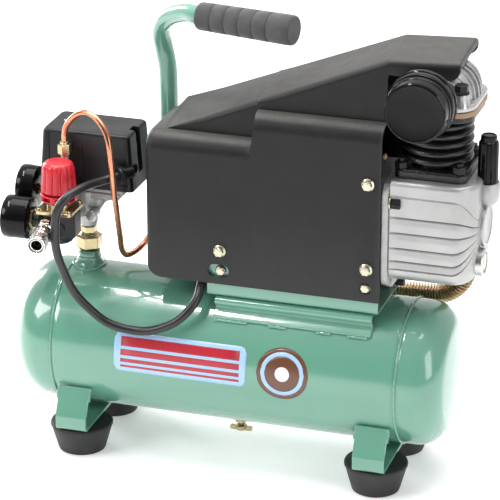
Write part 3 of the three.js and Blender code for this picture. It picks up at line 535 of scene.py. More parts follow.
COPPER = machined("drawn_copper", (0.66, 0.29, 0.17), 0.26, (12, 12, 12), tarnish=(0.42, 0.16, 0.09))
OLD_BRASS = machined("finned_tube_brass", (0.5, 0.4, 0.25), 0.34, tarnish=(0.32, 0.21, 0.13))
TUBE_CORE = machined("finned_tube_core", (0.3, 0.21, 0.13), 0.4, tarnish=(0.14, 0.09, 0.06))
GASKET = moulded_plastic("gasket_fibre", (0.26, 0.17, 0.11), 600, 0.1, 0.5, 0.7, 0.1)
BLACK_STEEL = machined("black_oxide", (0.02, 0.02, 0.021), 0.35, metallic=0.7)
GLASS = clear("sight_glass", (0.9, 0.88, 0.75))
WINDOW = clear("gauge_window", (0.97, 0.98, 0.98), 0.02)
DIAL = Look("dial_white", (0.82, 0.82, 0.8), 0.45).mottle(200, 0.98, 1.01).made
INK = printed("dial_ink", (0.02, 0.02, 0.02))
FILTER_FOAM = rubber("filter_foam", (0.12, 0.12, 0.11), 1500, 0.3, 0.9, 0.0)
LABEL_BLUE = printed("label_pale_blue", (0.36, 0.55, 0.78))
LABEL_RED = printed("label_red", (0.42, 0.02, 0.035))
LABEL_BROWN = printed("label_brown", (0.13, 0.05, 0.022))
LABEL_WHITE = printed("label_white", (0.8, 0.82, 0.83))
OIL = Look("oil", (0.35, 0.2, 0.04), 0.1).mottle(40, 0.9, 1.1).made

# ---------------------------------------------------------------- the motor lead, the only free cord
LEAD_POINTS = [
    tuple(LEAD_EXIT), (-121.4, -29.6, 297), (-126.2, -36.2, 296.6), (-130.5, -42, 296), (-134.7, -49, 296),
    (-139, -58, 296.4), (-143, -71, 296.7), (-148, -82, 295.5), (-152.5, -90, 292), (-157, -94.5, 286.5),
    (-161, -96.5, 276), (-163, -96.5, 262), (-163.5, -95, 243.5), (-162, -91, 226), (-159, -87, 212.5),
    (-153.8, -83.5, 196), (-147, -80.5, 183), (-136, -78, 170.5), (-121, -75, 157.5), (-107, -73.5, 152),
    (-94, -72.5, 150), (-81, -72, 150), (-67, -71.5, 153.5), (-47, -69.5, 163.5), (-35, -64, 175),
    (-29, -55, 185), (-29, -45, 193), (-28, -37, 203), (-21, -31, 215), (-5, -29, 223),
    (10, -27, 230), (20, -23, 240), (28, -22, 245.6), (35, -22, 246),
]
lead_path = route(LEAD_POINTS, 2.5)
lead = piece("motor_lead_cable", swept(lead_path, LEAD_R, 20), LEAD, replaces="motor_lead")


# ---------------------------------------------------------------- fasteners
def hex_bolt(name, seat, axis, look, flats=10, flange=7.5, height=5.5, washer=None):
    """Hexagon head with a domed top, on its own flange or on a washer with another look."""
    seat, axis = Vector(seat), Vector(axis).normalized()
    parts = []
    if washer:
        disc = turned([(2, 0), (flange, 0), (flange, 1.4), (2, 1.4)], seat, axis)
        piece(name + "_washer", disc, washer, bevel=0.25)
        base = 1.4
    else:
        skirt = [(0, 0), (flange, 0), (flange, 0.9), (flats * 0.56, 2.2), (0, 2.2)]
        parts.append(turned(skirt, seat, axis))
        base = 1.6
    dome = [(flats * 0.36, 0), (flats * 0.34, 0.45), (0, 0.5)]
    parts.append(hexagon(flats, height - base, seat + axis * base, axis, 0.7))
    parts.append(turned(dome, seat + axis * (height - 0.1), axis, 24))
    piece(name, merged(*parts), look, bevel=0.3)


def pan_screw(name, seat, axis, look, radius=3.4, height=2.4):
    """Domed head with a cross recess."""
    seat, axis = Vector(seat), Vector(axis).normalized()
    dome = [(0, -0.3), (radius, -0.3), (radius, height * 0.35), (radius * 0.8, height * 0.8),
            (radius * 0.4, height), (0, height)]
    made = piece(name, turned(dome, seat, axis, 32), look)
    u, v = side_axes(axis)
    for along_arm, across in ((u, v), (v, u)):
        arm = [seat + axis * (height - 1) + along_arm * s * radius * 0.55 + across * w * radius * 0.12
               for s, w in CORNERS]
        carve(made, loft([arm, [p + axis * 2 for p in arm]]))


def weld(name, path, size, seed):
    """A painted weld bead: a lumpy swept line."""
    draw = random.Random(seed)
    long_phase, short_phase = draw.uniform(0, TAU), draw.uniform(0, TAU)

    def lumps(distance):
        wave = 0.18 * math.sin(distance * 1.9 + long_phase) + 0.12 * math.sin(distance * 0.7 + short_phase)
        return size * (1 + wave)

    piece(name, swept(path, lumps, 10), GREEN, sharp=60)


def on_tank(x, height, lift):
    """Point above the tank's front. The height is measured along the skin from the tank's middle."""
    angle, radius = height / TANK_R, TANK_R + lift
    return Vector((x, -radius * math.cos(angle), TANK_Z + radius * math.sin(angle)))


# ---------------------------------------------------------------- tank
def tank_end(name, axis):
    """Pressed head: a lip in the shell, a knuckle and a shallow dish."""
    knuckle, shoulder, rise = 34, 12, 48
    profile = [(TANK_R - 6, 0.3), (TANK_R - 0.4, 0.3), (TANK_R, 0.8), (TANK_R, 4)]
    profile += arc(TANK_R - knuckle, shoulder, knuckle, 0, TAU / 5.2, 14)[1:]
    edge, height = profile[-1]
    for i in range(1, 13):
        share = 1 - i / 12
        profile.append((edge * share, height + (rise - height) * (1 - share ** 2)))
    shape = turned(profile, (axis.x * SEAM_X, 0, TANK_Z), axis, 160)
    piece(f"tank_end_{name}", shape, GREEN, replaces=f"tank_head_{name}", sharp=60)
    seam = [Vector((axis.x * (SEAM_X + 0.3), u, v)) for u, v in arc(0, TANK_Z, TANK_R + 0.1, 0, TAU, 240)]
    weld(f"tank_seam_{name}", seam, 1.25, 3)


def tank():
    half = [(TANK_R, SEAM_X - 1), (TANK_R - 0.6, SEAM_X), (TANK_R - 2, SEAM_X), (0, SEAM_X - 1)]
    shell = [(r, -x) for r, x in half[::-1]] + [(TANK_R, x) for x in (-175, -100, 0, 100, 175)] + half
    neck = [(0, -8), (19, -8), (18.5, -2.2), (15.5, 1), (13.2, 4.5), (12.3, 8), (12.3, 9.4), (11.2, 10.2),
            (11.2, 15.3), (10.6, 16), (8, 16), (8, 12), (0, 12)]
    boss = [(0, 0), (12.5, 0), (10, 3), (9, 5.2), (5.5, 5.5), (0, 5.5)]
    drain_boss = [(0, 0), (12.5, 0), (9.6, 3), (9, 5), (5, 5.4), (0, 5.4)]
    seat = Vector((CHECK_VALVE[0], 0, TANK_Z)) + CHECK_OUT * (TANK_R - 2)
    shapes = [
        turned(shell, (0, 0, TANK_Z), X, 160),
        turned(neck, (PORT_X, 0, TANK_TOP), Z, 48),
        turned(boss, seat, CHECK_OUT, 40),
        turned(drain_boss, (0, 0, TANK_Z - TANK_R + 2), DOWN, 40),
    ]
    piece("tank_shell", merged(*shapes), GREEN, replaces="tank_cylinder", sharp=50)
    tank_end("left", LEFT)
    tank_end("right", X)
    ring = [Vector((x, y, TANK_Z + math.sqrt(TANK_R ** 2 - y ** 2) + 0.6))
            for x, y in arc(PORT_X, 0, 16.5, 0, TAU, 48)]
    weld("neck_weld", ring, 1.7, 11)


def feet():
    half = filleted([(-66.2, 75.1, 0), (-80, 46.1, 7), (-80, 32.1, 4.5), (0, 32.1, 0)], False, 8)
    bend = half + [(-u, v) for u, v in half[-2::-1]]
    profile = [(0, 0), (22.8, 0), (24.3, 0.5), (24.8, 1.8), (31.4, 25.4), (32.3, 26.8), (32.5, 28.3),
               (31.9, 29.7), (30.6, 30.3), (0, 30.3)]
    for side, x in (("left", -158), ("right", 158)):
        strap = along("x", sheet(bend, 3), x - 16.5, x + 16.5)
        piece(f"strap_{side}", strap, GREEN, replaces=f"foot_strap_{side}", bevel=0.7)
        for face, sign in (("front", -1), ("rear", 1)):
            y = sign * 48.5
            piece(f"foot_{face}_{side}", turned(profile, (x, y, 0), Z, 96), RUBBER,
                  replaces=f"rubber_foot_{face}_{side}", sharp=50)
            hex_bolt(f"foot_screw_{face}_{side}", (x, y, 33.7), Z, ZINC, 8, 6, 4.6)
            for name, edge in (("inner", -1), ("outer", 1)):
                bead = [Vector((x + edge * 16.8, sign * (66.4 + 0.55 * t), 74.6 - 1.1 * t))
                        for t in range(12)]
                weld(f"strap_weld_{face}_{side}_{name}", bead, 1.5, x + edge)


def drain_valve():
    z = TANK_Z - TANK_R - 3.8
    thread = [(0, 0), (6, 0), (6, 5)]
    for i in range(4):
        thread += [(3.9, 5.4 + 0.9 * i), (3.4, 5.8 + 0.9 * i)]
    thread += [(3.4, 9), (0, 9)]
    body = merged(turned(thread, (0, 0, z), DOWN, 40), hexagon(11, 4.4, (0, 0, z), DOWN))
    piece("drain_body", body, BRASS, replaces="drain_valve_body", bevel=0.2)
    hub = turned([(0, 0), (5.6, 0), (6, 0.5), (6, 4.6), (5, 5.2), (0, 5.2)], (0, 0, z - 9.4), DOWN, 32)
    points, faces = along("x", rounded(-12, 12, z - 15.4, z - 10.4, 2.2), -1.5, 1.5)
    wing = ([Vector((p.y, p.x, p.z)) for p in points], faces)
    piece("drain_knob", merged(hub, wing), BRASS, "drain_valve_knob", replaces="drain_valve_knob",
          bevel=0.3)


tank()
feet()
drain_valve()


# ---------------------------------------------------------------- saddle rails, motor tray and handle
def rails_and_tray():
    for name, side in (("front", -1), ("rear", 1)):
        seat, low = TANK_R + 1.4, 0.79
        path = [(seat * math.cos(a), TANK_Z + seat * math.sin(a)) for a in (low, 0.84, 0.88)]
        path += [(45.2, 172.4), (44.2, 175), (45.2, 177.8), (47.6, 180), (48.4, 182.4), (46.6, 184.6),
                 (43, 185.3), (35.4, 185.3)]
        smooth = [tuple(p.xy) for p in route([(side * u, v, 0) for u, v in path], 1.2)]
        piece(f"rail_{name}", along("x", sheet(smooth, 2), -12.4, 151), GREEN,
              replaces=f"saddle_rail_{name}", bevel=0.5)
        y, z = side * (seat * math.cos(low) + 0.8), TANK_Z + seat * math.sin(low) - 0.8
        for i, (x0, x1) in enumerate(((-11, 24), (46, 66), (96, 112), (128, 150))):
            weld(f"rail_weld_{name}_{i}", [Vector((x, y, z)) for x in range(x0, x1, 2)], 1.3, i + 7)
    half, floor, top = 44.4, 187.7, 228.5
    bend = filleted([(-half, top, 0), (-half, floor, 3.4), (half, floor, 3.4), (half, top, 0)], False, 8)
    piece("tray", along("x", sheet(bend, 2.4), -21.4, 156), GREEN, replaces="motor_tray",
          bevel=0.45)


def handle():
    path = route([
        (-97, 62, 163), (-97, 62, 260), (-97, 62, 351), (-98, 62, 386), (-101.5, 60.5, 408),
        (-102.5, 56.5, 422), (-97.5, 50, 436), (-86, 41, 447), (-64, 24, 457.5), GRIP_LEFT,
        (-20, 5.8, 460.4), (50, -6.7, 460.4),
    ], 4)
    piece("handle_bar", swept(path, 9.5, 40), GREEN, replaces="handle_tube")
    ring = [Vector((x, y, TANK_Z + math.sqrt(max(TANK_R ** 2 - y ** 2, 60)) + 0.4))
            for x, y in arc(-97, 62, 10, 0, TAU, 40)]
    weld("handle_weld", ring, 2.2, 5)
    grip = GRIP_RIGHT - GRIP_LEFT
    length = grip.length
    profile = [(9.8, 0.6), (12.6, 0), (13.6, 1.2), (14.05, 3.4)]

    def radius(h):
        return 14.05 + 1.1 * min(1, h / (length - 12))

    for i in range(5):
        groove = 18 + 15.6 * i
        cut = ((0.35, -0.8), (0.85, -0.3), (0.85, 0.3), (0.35, 0.8))
        profile += [(radius(groove + h), groove + h) for h in (-5, -1.3)]
        profile += [(radius(groove) - deep, groove + h) for deep, h in cut]
        profile.append((radius(groove + 1.3), groove + 1.3))
    profile += [(radius(length - 9), length - 9), (15.1, length - 3), (14.7, length - 1), (13.9, length),
                (0, length)]
    piece("grip", turned(profile, GRIP_LEFT, grip, 72), FOAM, replaces="handle_grip", sharp=50)


rails_and_tray()
handle()


# ---------------------------------------------------------------- shroud
SHROUD_X0, SHROUD_X1, ROOF_X1, SHROUD_HALF = -85, 158, 229, 50
LOW_TOP, HIGH_TOP, STEP_X, ROOF_TOP = 355, 385, 26, 448
RAMP_X, END_R, EDGE_R, DUCT_HALF, DUCT_REAR = -67, 8, 18, 32, 44
SKIRT = 0.857  # how far up the duct's walls the ring's last point before the roof's edge lies


def smoothstep(value, low, high):
    t = min(1, max(0, (value - low) / (high - low)))
    return t * t * (3 - 2 * t)


def drop(radius, depth):
    """How far a round of that radius falls away at a depth past where it starts."""
    return radius - math.sqrt(max(0.0, radius ** 2 - max(0.0, depth) ** 2))


def roof_height(x):
    if x <= SHROUD_X1:
        return max(LOW_TOP, LOW_TOP + (ROOF_TOP - LOW_TOP) * (x - RAMP_X) / (SHROUD_X1 - RAMP_X))
    return ROOF_TOP + 3.5 * (x - SHROUD_X1) / (ROOF_X1 - SHROUD_X1)


def shroud_section(x):
    """The shroud's outline at x, from the front's lower edge over the top to the rear's, as (y, z)."""
    inset = drop(END_R, END_R - (x - SHROUD_X0))
    top = LOW_TOP + (HIGH_TOP - LOW_TOP) * smoothstep(x, STEP_X - 1.6, STEP_X + 2.4)
    roof = max(top, roof_height(x)) - inset
    foot = 202 + 17 / 18 * drop(18, RAMP_X - x)
    half, radius = SHROUD_HALF - inset, EDGE_R - inset
    centre_z = top - EDGE_R
    waist = (foot + centre_z) / 2
    top -= inset
    rise = roof - top
    edge = min(7, max(0.01, rise * 0.45))
    points = [(-half, foot), (-half, waist), (-half, centre_z)]
    points += arc(-DUCT_HALF, centre_z, radius, math.pi, QUARTER, 10)[1:]
    skirt = top + (rise - edge) * SKIRT
    points += [(-DUCT_HALF, top + 0.01 + 0.1 * (skirt - top)), (-DUCT_HALF, skirt)]
    points += arc(-DUCT_HALF + edge, roof - edge, edge, math.pi, QUARTER, 7)
    along_ramp = smoothstep(x, SHROUD_X0, -70) * min(1, max(0, (SHROUD_X1 - x) / 225))
    lift = (4.5 + 4.5 * along_ramp) * smoothstep(x, SHROUD_X0 + 6, -68)
    points += [(-15, roof + lift * 0.35), (8, roof + lift * 0.6), (25, roof + lift * 0.82)]
    # behind, the duct's wall grows out of the round top edge as the roof rises
    blend = smoothstep(rise + lift, 0.0, 4.0)
    join = math.acos((DUCT_REAR - DUCT_HALF) / EDGE_R)
    duct = arc(DUCT_REAR - edge, roof + lift - edge, edge, QUARTER, 0, 7)
    block = arc(DUCT_HALF, centre_z, radius, QUARTER, QUARTER - (QUARTER - join) * 7 / 8, 7)
    points += [tuple(Vector(b).lerp(Vector(d), blend)) for b, d in zip(block, duct)]
    low_y, low_z = arc(DUCT_HALF, centre_z, radius, join, join, 1)[0]
    rear_skirt = skirt + lift * SKIRT
    wall_y = min(DUCT_REAR, points[-1][0]) * blend + low_y * (1 - blend)
    points += [(wall_y, max(low_z, low_z + (rear_skirt - low_z) * blend)), (low_y, low_z)]
    points += arc(DUCT_HALF, centre_z, radius, join, 0, 6)[1:]
    return points + [(half, waist), (half, foot)]


def shroud():
    stations = [SHROUD_X0 + 8 * (1 - math.cos(QUARTER * k / 7)) for k in range(8)]
    stations += [-74, -71, -69, -67, -65, -62, -58, -50, -30, -10, 10, 20, STEP_X - 2]
    stations += [STEP_X - 1.6 + k / 2 for k in range(1, 9)]
    stations += [32, 45, 70, 100, 130, 145, 150, 153, 156, SHROUD_X1]
    rings = [[(x, y, z) for y, z in shroud_section(x)] for x in stations]
    count = len(rings[0])
    points, faces = loft(rings, caps=False, closed=False)
    first, last = 14, count - 10  # the ring's points above the skirt's edge, front and rear
    base = shroud_section(SHROUD_X1)[first:last + 1]
    width = len(base)
    ends = (0, width - 1)
    previous = (len(rings) - 1) * count + first

    def add_row(row):
        """Joins one more row of points to the roof's last one."""
        start = len(points)
        points.extend(row)
        faces.extend([previous + i, previous + i + 1, start + i + 1, start + i] for i in range(width - 1))
        return start

    def lowest(y):
        return base[0][1] if y < 0 else base[-1][1]

    for x in (161, 165, 175, 190, 205, 214, 218, 221, 224, 226, 227.6, 228.6, ROOF_X1):
        lift = roof_height(x) - ROOF_TOP - max(0.0, x - 226) ** 2 * 0.16
        corner = 11 / 12 * drop(12, x - 217)
        row = [Vector((x, y, z + corner if i in ends else max(z + lift, lowest(y) + corner)))
               for i, (y, z) in enumerate(base)]
        previous = add_row(row)
    ragged = random.Random(4)
    row = []
    for i, (y, z) in enumerate(base):
        x, _, here = points[previous + i]
        lip = 1.2
        if 2 < i < width - 3:
            lip = 3.5 + 8.5 * (y + 32) / 76 + ragged.uniform(-1.1, 1.1)
        row.append(Vector((x, y, max(here - lip, lowest(y) + 11))))
    add_row(row)
    faces.append(list(range(count))[::-1])
    made = piece("shroud_cover", (points, faces), SHROUD, replaces="shroud", sharp=33,
                 wall=2.6)
    slot = rounded(-19, 3, 209, 223, 6.9)
    cuts = [along("y", slot, -60, -40), along("y", slot, 40, 60)]
    cuts += [rod(6, 20, (144, y, 216), Y) for y in (-60, 40)]
    for i in range(7):
        z = 240 + 14 * i
        cuts.append(along("x", rounded(-34, 34, z, z + 6, 2.9), SHROUD_X0 - 5, SHROUD_X0 + 6))
    carve(made, merged(*cuts))
    sides = (("front", FRONT), ("rear", Y))
    for side, axis in sides:
        for spot, x, z in (("left", -6.4, 237.8), ("right", 144.5, 236.4), ("upper", 145, 325.5)):
            hex_bolt(f"shroud_bolt_{side}_{spot}", (x, axis.y * SHROUD_HALF, z), axis, ZINC, 9, 6.6, 5.4)
    for side, axis in sides:
        for end, x in (("left", -6.5), ("right", 143)):
            hex_bolt(f"tray_bolt_{side}_{end}", (x, axis.y * 45.8, 215.5), axis, ZINC, 8, 5.6, 4)


shroud()


# ---------------------------------------------------------------- pump
def crankcase_body():
    """Clapboard ribs that run round the corners and gather at the end cover."""
    corner, half, x0 = 24, CASE_HALF, CASE_X0 + 8
    plan = [(x0 + (CASE_X1 - corner - x0) * k / 14, -half) for k in range(15)]
    plan += arc(CASE_X1 - corner, -half + corner, corner, -QUARTER, 0, 14)[1:]
    plan += [(CASE_X1, -half + corner + (half - corner) * k / 8) for k in range(1, 9)]
    plan += [(x, -y) for x, y in plan[-2::-1]]
    levels = (CASE_BOTTOM, 237.5, 240, 248.5, 262, 278, 294, 316, CASE_TOP)
    gathered = (CASE_BOTTOM, 262.5, 264, 269, 274, 279.5, 285, 292, CASE_TOP)
    boards = [(level, 1.0) for level in levels[2:-2]] + [(levels[-2], 0.35)]
    bottom_r, top_r, rows = 17, 5, 260
    rings = []
    for k in range(rows + 1):
        level = CASE_BOTTOM + (CASE_TOP - CASE_BOTTOM) * k / rows
        span = max(i for i in range(len(levels) - 1) if levels[i] <= level)
        share = (level - levels[span]) / (levels[span + 1] - levels[span])
        rise = gathered[span] + (gathered[span + 1] - gathered[span]) * share - level
        relief = 0.0
        for line, depth in boards:
            below = line - level
            step = depth * smoothstep(below, -0.4, 0.4)
            relief += step * (0.7 * (1 - smoothstep(below, 0.5, 9)) + 1.7 * (1 - smoothstep(below, 0.7, 2.2)))
        ring = []
        for i, (x, y) in enumerate(plan):
            ahead, back = plan[min(i + 1, len(plan) - 1)], plan[max(i - 1, 0)]
            normal = Vector((ahead[1] - back[1], back[0] - ahead[0])).normalized()
            gather = smoothstep(x - abs(y), CASE_X1 - 68, CASE_X1 - 20)
            z = level + rise * gather
            inset = drop(bottom_r, bottom_r - (z - CASE_BOTTOM)) + drop(top_r, top_r - (CASE_TOP - z))
            offset = inset + relief * (1 - 0.4 * gather) * smoothstep(x, x0, x0 + 6)
            ring.append((x - normal.x * offset, y - normal.y * offset, z))
        rings.append(ring)
    shell = piece("case_body", loft(rings), CAST, replaces="crankcase", sharp=44)
    carve(shell, box(174, 243, -38, 38, 238, 320), rod(BORE_R, 30, (PUMP_X, 0, 310), Z, 64))


def crankcase():
    crankcase_body()
    half, low, high = CASE_HALF, CASE_BOTTOM, CASE_TOP
    flange = along("x", rounded(-half - 1, half + 1, low - 6, high - 4, 12), CASE_X0, CASE_X0 + 6.5)
    step = along("x", rounded(-half + 2, half - 2, low + 1, high - 1.5, 11), CASE_X0 + 6, CASE_X0 + 10)
    for name, shape, bevel in (("case_flange", flange, 0.7), ("case_flange_step", step, 0.5)):
        plate = piece(name, shape, ROUGH_CAST, bevel=bevel)
        carve(plate, rod(30, 30, (CASE_X0 - 8, 0, AXIS_Z), X, 64))
    lug = filleted([(CASE_X0, 214, 2), (CASE_X0 + 8, 214, 2), (CASE_X0 + 16, 228, 3), (CASE_X0, 230, 1)])
    piece("case_foot", along("y", lug, -32, -14), CAST, bevel=0.7)
    mouth = [(0, -26), (8, -24), (11.4, -19), (12.4, -13), (12.4, -1.6), (11.9, -0.5), (10.8, -0.4),
             (10.6, -2), (0, -2)]
    piece("breather_boss", turned(mouth, BREATHER, Z, 48), CAST, sharp=44)
    cover_z = AXIS_Z - 1.5
    hub = [(0, -3), (25, -3), (24.2, 0.2), (22, 0.4), (22, 2.6), (20.8, 3.6), (18.4, 3.8), (17.6, 3),
           (0, 2.6)]
    piece("case_end_cover", turned(hub, (CASE_X1 + 0.6, 0, cover_z), X, 72), CAST,
          replaces="crankcase_cover", bevel=0.25)
    for i, (y, z) in enumerate(arc(0, cover_z, 19.8, QUARTER / 2, QUARTER * 3.5, 3)):
        pan_screw(f"cover_screw_{i}", (CASE_X1 + 3, y, z), X, STEEL, 2.2, 1.4)
    eye = Vector((CASE_X1 + 0.3, -16, AXIS_Z - 35))
    ring = [(10.2, -4), (14.2, -4), (14.2, 4.4), (13.4, 5.5), (11.4, 5.9), (10.4, 5.4), (10.2, -4)]
    oil = [(0, 0.4), (10.1, 0.4), (10.1, 2.4), (0, 2.6)]
    lens = [(0, 2.8), (10.2, 2.8), (10.2, 4.4), (8.4, 5.3), (4, 5.8), (0, 5.9)]
    piece("sight_glass_ring", turned(ring, eye, X, 64), STEEL, replaces="oil_sight_glass", bevel=0.2)
    piece("sight_glass_oil", turned(oil, eye, X, 48), OIL)
    piece("sight_glass_lens", turned(lens, eye, X, 48), GLASS)
    for end, sign in (("", -1), ("_rear", 1)):
        for spot, y, z in (("upper", 46, 308), ("lower", 24, 219)):
            hex_bolt(f"case_bolt_{spot}{end}", (CASE_X0 + 8, sign * y, z), X, BLACK_STEEL, 10, 7, 10.5, ZINC)


def breather():
    """Hollow plug whose skirt is fluted in twelve facets."""
    rings = []
    for h, shrink in ((0, 0.6), (0.8, 0), (39, 0.35), (41.2, 0.9), (42, 1.9)):
        ring = []
        for i in range(72):
            flute = 0.7 if i % 6 == 0 else 0.12 * (1 - abs(i % 6 - 3) / 3)
            r, angle = 10.3 - flute - shrink, TAU * i / 72
            ring.append(Vector(BREATHER) + Vector((r * math.cos(angle), r * math.sin(angle), h)))
        rings.append(ring)
    cap = [(0, 41), (8, 41), (8, 46.4), (7.2, 47.7), (5.6, 48), (5.2, 47.2), (0, 47.2)]
    stem = [(0, -8), (5.4, -8), (5.8, -7.4), (5.8, 0.2), (0, 0.2)]
    shapes = (loft(rings), turned(cap, BREATHER, Z, 48), turned(stem, BREATHER, Z, 32))
    piece("breather_plug", merged(*shapes), GLOSS, "breather_cap",
          replaces="breather_cap", sharp=30)


def square_stack(levels, steps=10):
    """Rounded squares round the cylinder's axis, skinned from (z, half width, corner radius)."""
    return loft([
        [(x, y, z) for x, y in rounded(PUMP_X - half, PUMP_X + half, -half, half, corner, steps)]
        for z, half, corner in levels
    ])


def cylinder():
    base = CASE_TOP + 0.3
    profile = [(BORE_R, base), (25, base), (25, base + 12)]
    fin = ((27, -0.8), (29, 0), (33.2, 0.3), (34.6, 1.4), (35, 2.9), (34.6, 4.4), (33.2, 5.4), (29, 5.8),
           (27, 6.6))
    for i in range(5):
        profile += [(r, base + 14 + 9 * i + h) for r, h in fin]
    profile += [(26, 392), (26, 398.4), (BORE_R, 398.4), (BORE_R, base)]
    foot = [(base, 35, 9), (base + 0.01, 36, 9), (base + 7, 36, 9), (base + 9, 34.5, 9),
            (base + 9.01, 30, 12)]
    top = [(391.2, 34, 19), (392.4, 38.5, 19), (393.4, 40, 19), (397.6, 40, 19), (398.5, 39.3, 19)]
    piece("cylinder_barrel", turned(profile, (PUMP_X, 0, 0), Z, 112), IRON,
          replaces="pump_cylinder", sharp=50)
    for name, levels in (("cylinder_foot", foot), ("cylinder_top", top)):
        plate = piece(name, square_stack(levels), IRON, bevel=0.5, sharp=50)
        carve(plate, rod(BORE_R + 0.5, 90, (PUMP_X, 0, base - 10), Z, 64))
    for i, (sx, sy) in enumerate(CORNERS):
        seat = (PUMP_X + sx * 29, sy * 29.5, base + 9)
        nut = merged(hexagon(12, 7, seat, Z, 0.9), rod(3.4, 10.5, seat, Z, 20))
        piece(f"cylinder_nut_{i}", nut, BLACK_STEEL, bevel=0.25)
    gasket = [(398.8, 41.4, 20), (399.2, 42, 20), (404, 42, 20), (404.5, 41.4, 20)]
    piece("head_gasket", square_stack(gasket, 14), GASKET, replaces="valve_plate")


def head():
    base, dome = 404.8, 411.2
    foot = [(base, 41.2, 20), (base + 0.6, 42, 20.5), (base + 4.4, 42, 20.5), (base + 5.8, 41, 20.5),
            (dome, 39, 20)]
    core = []
    for k in range(12):
        half = 35.5 * math.cos(QUARTER * k / 12) ** 0.62 + 0.8
        core.append((dome + 31 * math.sin(QUARTER * k / 12), half, half * 0.55))
    shapes = [square_stack(foot, 12), square_stack(core, 12)]
    deck = base + 4
    for i in range(8):
        y = -33 + 9.6 * i
        reach = 40.2 - 0.0075 * (y - 1) ** 2
        rise = (443.6 - deck) * (1 - 0.00022 * (y - 1) ** 2)
        fin = []
        for k in range(33):
            across, up = math.cos(math.pi * k / 32), math.sin(math.pi * k / 32)
            u = reach * math.copysign(abs(across) ** 0.72, across)
            fin.append((PUMP_X + u, deck + rise * up ** 0.82))
        shapes.append(along("y", fin, y - 1.45, y + 1.45))
    bosses = ((-29, -32, 13.2), (29, -32, 13.2), (23, 31, 8.2), (-23, 31, 8.2))
    for x, y, tall in bosses:
        boss = [(9.4, 0), (8.2, tall - 10), (7.4, tall - 4), (7.2, tall - 0.6), (6.6, tall), (0, tall)]
        shapes.append(turned(boss, (PUMP_X + x, y, deck), Z, 40))
    shapes.append(rod(8, 12, (FILTER[0], -42, FILTER[1]), Y))
    shapes.append(rod(9, 14, (PUMP_X, 42, PORT_Z), FRONT))
    piece("head_casting", merged(*shapes), HEAD_CAST, replaces="cylinder_head", bevel=0.6,
          sharp=48)
    for i, (x, y, tall) in enumerate(bosses):
        hex_bolt(f"head_bolt_{i}", (PUMP_X + x, y, deck + tall), Z, BLACK_STEEL, 12, 7.6, 9)


def air_filter():
    origin = (FILTER[0], 0, FILTER[1])
    rear = [(9, 42.4), (9, 51), (12, 52), (30, 52), (32.4, 52.8), (33.6, 54.6), (33.6, 58.2), (32.7, 59.4),
            (31.9, 60), (31.9, 61), (32.8, 61.6), (33.2, 62.6), (33.2, 68), (32.6, 69.6), (31.2, 70),
            (30, 70), (30, 60), (0, 60)]
    front = [(28, 70.4), (31.2, 70.4), (31.6, 71), (31.6, 74.6), (31.1, 75.6), (30.6, 76), (30.4, 77),
             (30.4, 84.6), (30, 86.8), (28.8, 88), (27.6, 88.3), (27, 88), (26.4, 87.8), (12, 87.6),
             (0, 87.6)]
    for name, node, profile in (("base", "housing", rear), ("lid", "cover", front)):
        piece(f"filter_{name}", turned(profile, origin, FRONT, 120), GLOSS,
              replaces=f"filter_{node}", sharp=30)
    collar = hexagon(16, 5, (FILTER[0], -43, FILTER[1]), FRONT)
    piece("filter_neck", collar, STEEL, bevel=0.3)


crankcase()
breather()
cylinder()
head()
air_filter()


# ---------------------------------------------------------------- pressure switch
def tapered_box(x0, x1, y0, y1, z0, z1, radius):
    """Box whose foot stands out 4 on x and 2 on y, with a crowned top edge."""
    levels = [(z, 0) for z in (z0, z0 + 3, (z0 + z1) / 2, z1 - 3.2)]
    rings = []
    for z, crown in levels + [(z1 - 1.4, 0.6), (z1 - 0.4, 1.6), (z1, 3)]:
        share = (z1 - z) / (z1 - z0)
        wide, deep = 4 * share - crown, 2 * share - crown
        rings.append([(x, y, z) for x, y in rounded(x0 - wide, x1 + wide, y0 - deep, y1 + deep, radius, 6)])
    return loft(rings)


